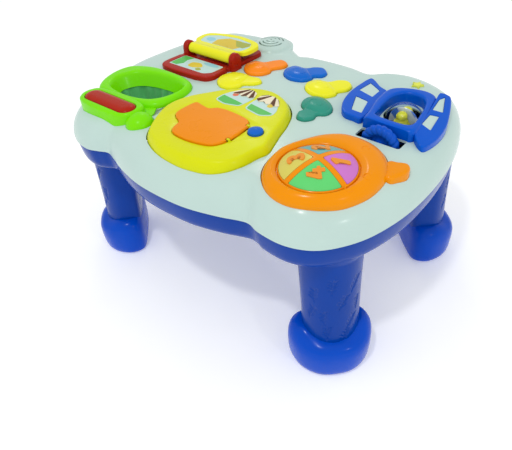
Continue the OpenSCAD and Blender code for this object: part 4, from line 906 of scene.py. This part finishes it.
# faint raised curls on the wide side of the housing
curls = []
for (cx, cy), r0, a0, a1 in (((213, -84), 5.5, 40, 330), ((207, -112), 4.5, 120, 400), ((186, -40), 5, -30, 250)):
    pts = []
    for i in range(19):
        a = radians(a0 + (a1-a0)*i/18)
        x, y = cx + r0*cos(a)*(0.6 + 0.4*i/18), cy + r0*sin(a)*(0.6 + 0.4*i/18)
        d = min(float(np.hypot(*(np.array(e) - (x, y)))) for e in house_fine)
        z = float(np.interp(d, [0, 0.8, 3, 7, 12, 16], [260, 264, 268, 271.5, 273.5, 274]))
        pts.append((x, y, z - 0.1))
    curls.append(tube("t", pts, 0.6))
pad_ob = join("pad_housing_look", pad_ob, *curls)
place(pad_ob, M["orange"], "pad_housing", angle=38)
for q, k, mat in ((0, 1, "magenta"), (1, 2, "aqua"), (2, 3, "padyellow"), (3, 4, "padgreen")):
    cap = revolve("number_pad_%d_look" % k, [(42.6, 262), (42.6, zc(42.6))] + [(r, zc(r)) for r in (41, 38, 34, 30, 26, 22, 18, 14, 10, 6, 3, 0)], (*disc_c, 0))
    cap = cut(cap, block("t", quad(3.7, disc_r - 2.4, q), 240, 300), op="INTERSECT")
    cap = cut(cap, revolve("t", [(60, 240), (60, zc(42.6, 3))] + [(r, zc(r, 3)) for r in (42.6, 36, 30, 24, 18, 12, 6, 0)], (*disc_c, 0)))
    a = radians(cross_turn + 90*q + 45)
    stem = revolve("t", [(3, 253), (3, zc(23) - 2)], (disc_c[0] + 23*cos(a), disc_c[1] + 23*sin(a), 0), n=32)
    place(join(cap.name + "_k", cap, stem), M[mat], "number_pad_%d" % k, angle=38)
    num = block("numeral_%d" % k, ccw(inset(ccw(rounded(ccw(scaled(NUM[k], 1.4, 1.4)), 0.8, 5)), -1.1 if k == 1 else -0.25)), 0, 2)
    T = Matrix.Translation(Vector((disc_c[0], disc_c[1], disc_cz))*MM) @ Matrix.Rotation(a, 4, "Z") @ Matrix.Rotation(asin(24/disc_R), 4, "Y") \
        @ Matrix.Translation((0, 0, (disc_R - 1.2)*MM)) @ Matrix.Rotation(radians(130) - a, 4, "Z")
    num.data.transform(T)
    place(num, M["numeral"], body=NODE["number_pad_%d" % k]["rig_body"], angle=38)

# ---- light, floor and finish -------------------------------------------------
scene.view_settings.view_transform = "Standard"
scene.view_settings.look = "None"
world = bpy.data.worlds.new("studio")
scene.world = world
world.use_nodes = True
world.node_tree.nodes["Background"].inputs["Color"].default_value = (1.0, 1.0, 1.0, 1)
world.node_tree.nodes["Background"].inputs["Strength"].default_value = 0.78
def area(name, loc, target, size, power, color=(1, 1, 1)):
    l = bpy.data.lights.new(name, "AREA")
    l.shape, l.size, l.energy, l.color = "DISK", size, power, color
    o = bpy.data.objects.new(name, l)
    scene.collection.objects.link(o)
    o.location = loc
    o.rotation_mode = "QUATERNION"
    o.rotation_quaternion = (Vector(target) - Vector(loc)).to_track_quat("-Z", "Y")
    return o
area("key", (0.2, -0.8, 1.8), (0, 0, 0.2), 0.14, 7)
area("fill", (1.5, -0.4, 1.0), (0, 0, 0.15), 0.12, 1.6)
area("back", (-1.0, 1.2, 1.4), (0, 0, 0.2), 0.2, 1.2)

bm = bmesh.new()
n = 96
ring = [bm.verts.new((4*cos(2*pi*i/n), 4*sin(2*pi*i/n), -0.0002)) for i in range(n)]
bm.faces.new(ring)
floor = new_object("floor", bm)
fm = plastic("floor_white", (250, 251, 251), rough=0.9, vary=0.01, bump=0.0, coat=0)
fb = fm.node_tree.nodes["Principled BSDF"]
fb.inputs["Emission Color"].default_value = (1, 1, 1, 1)
fb.inputs["Emission Strength"].default_value = 0.22
floor.data.materials.append(fm)
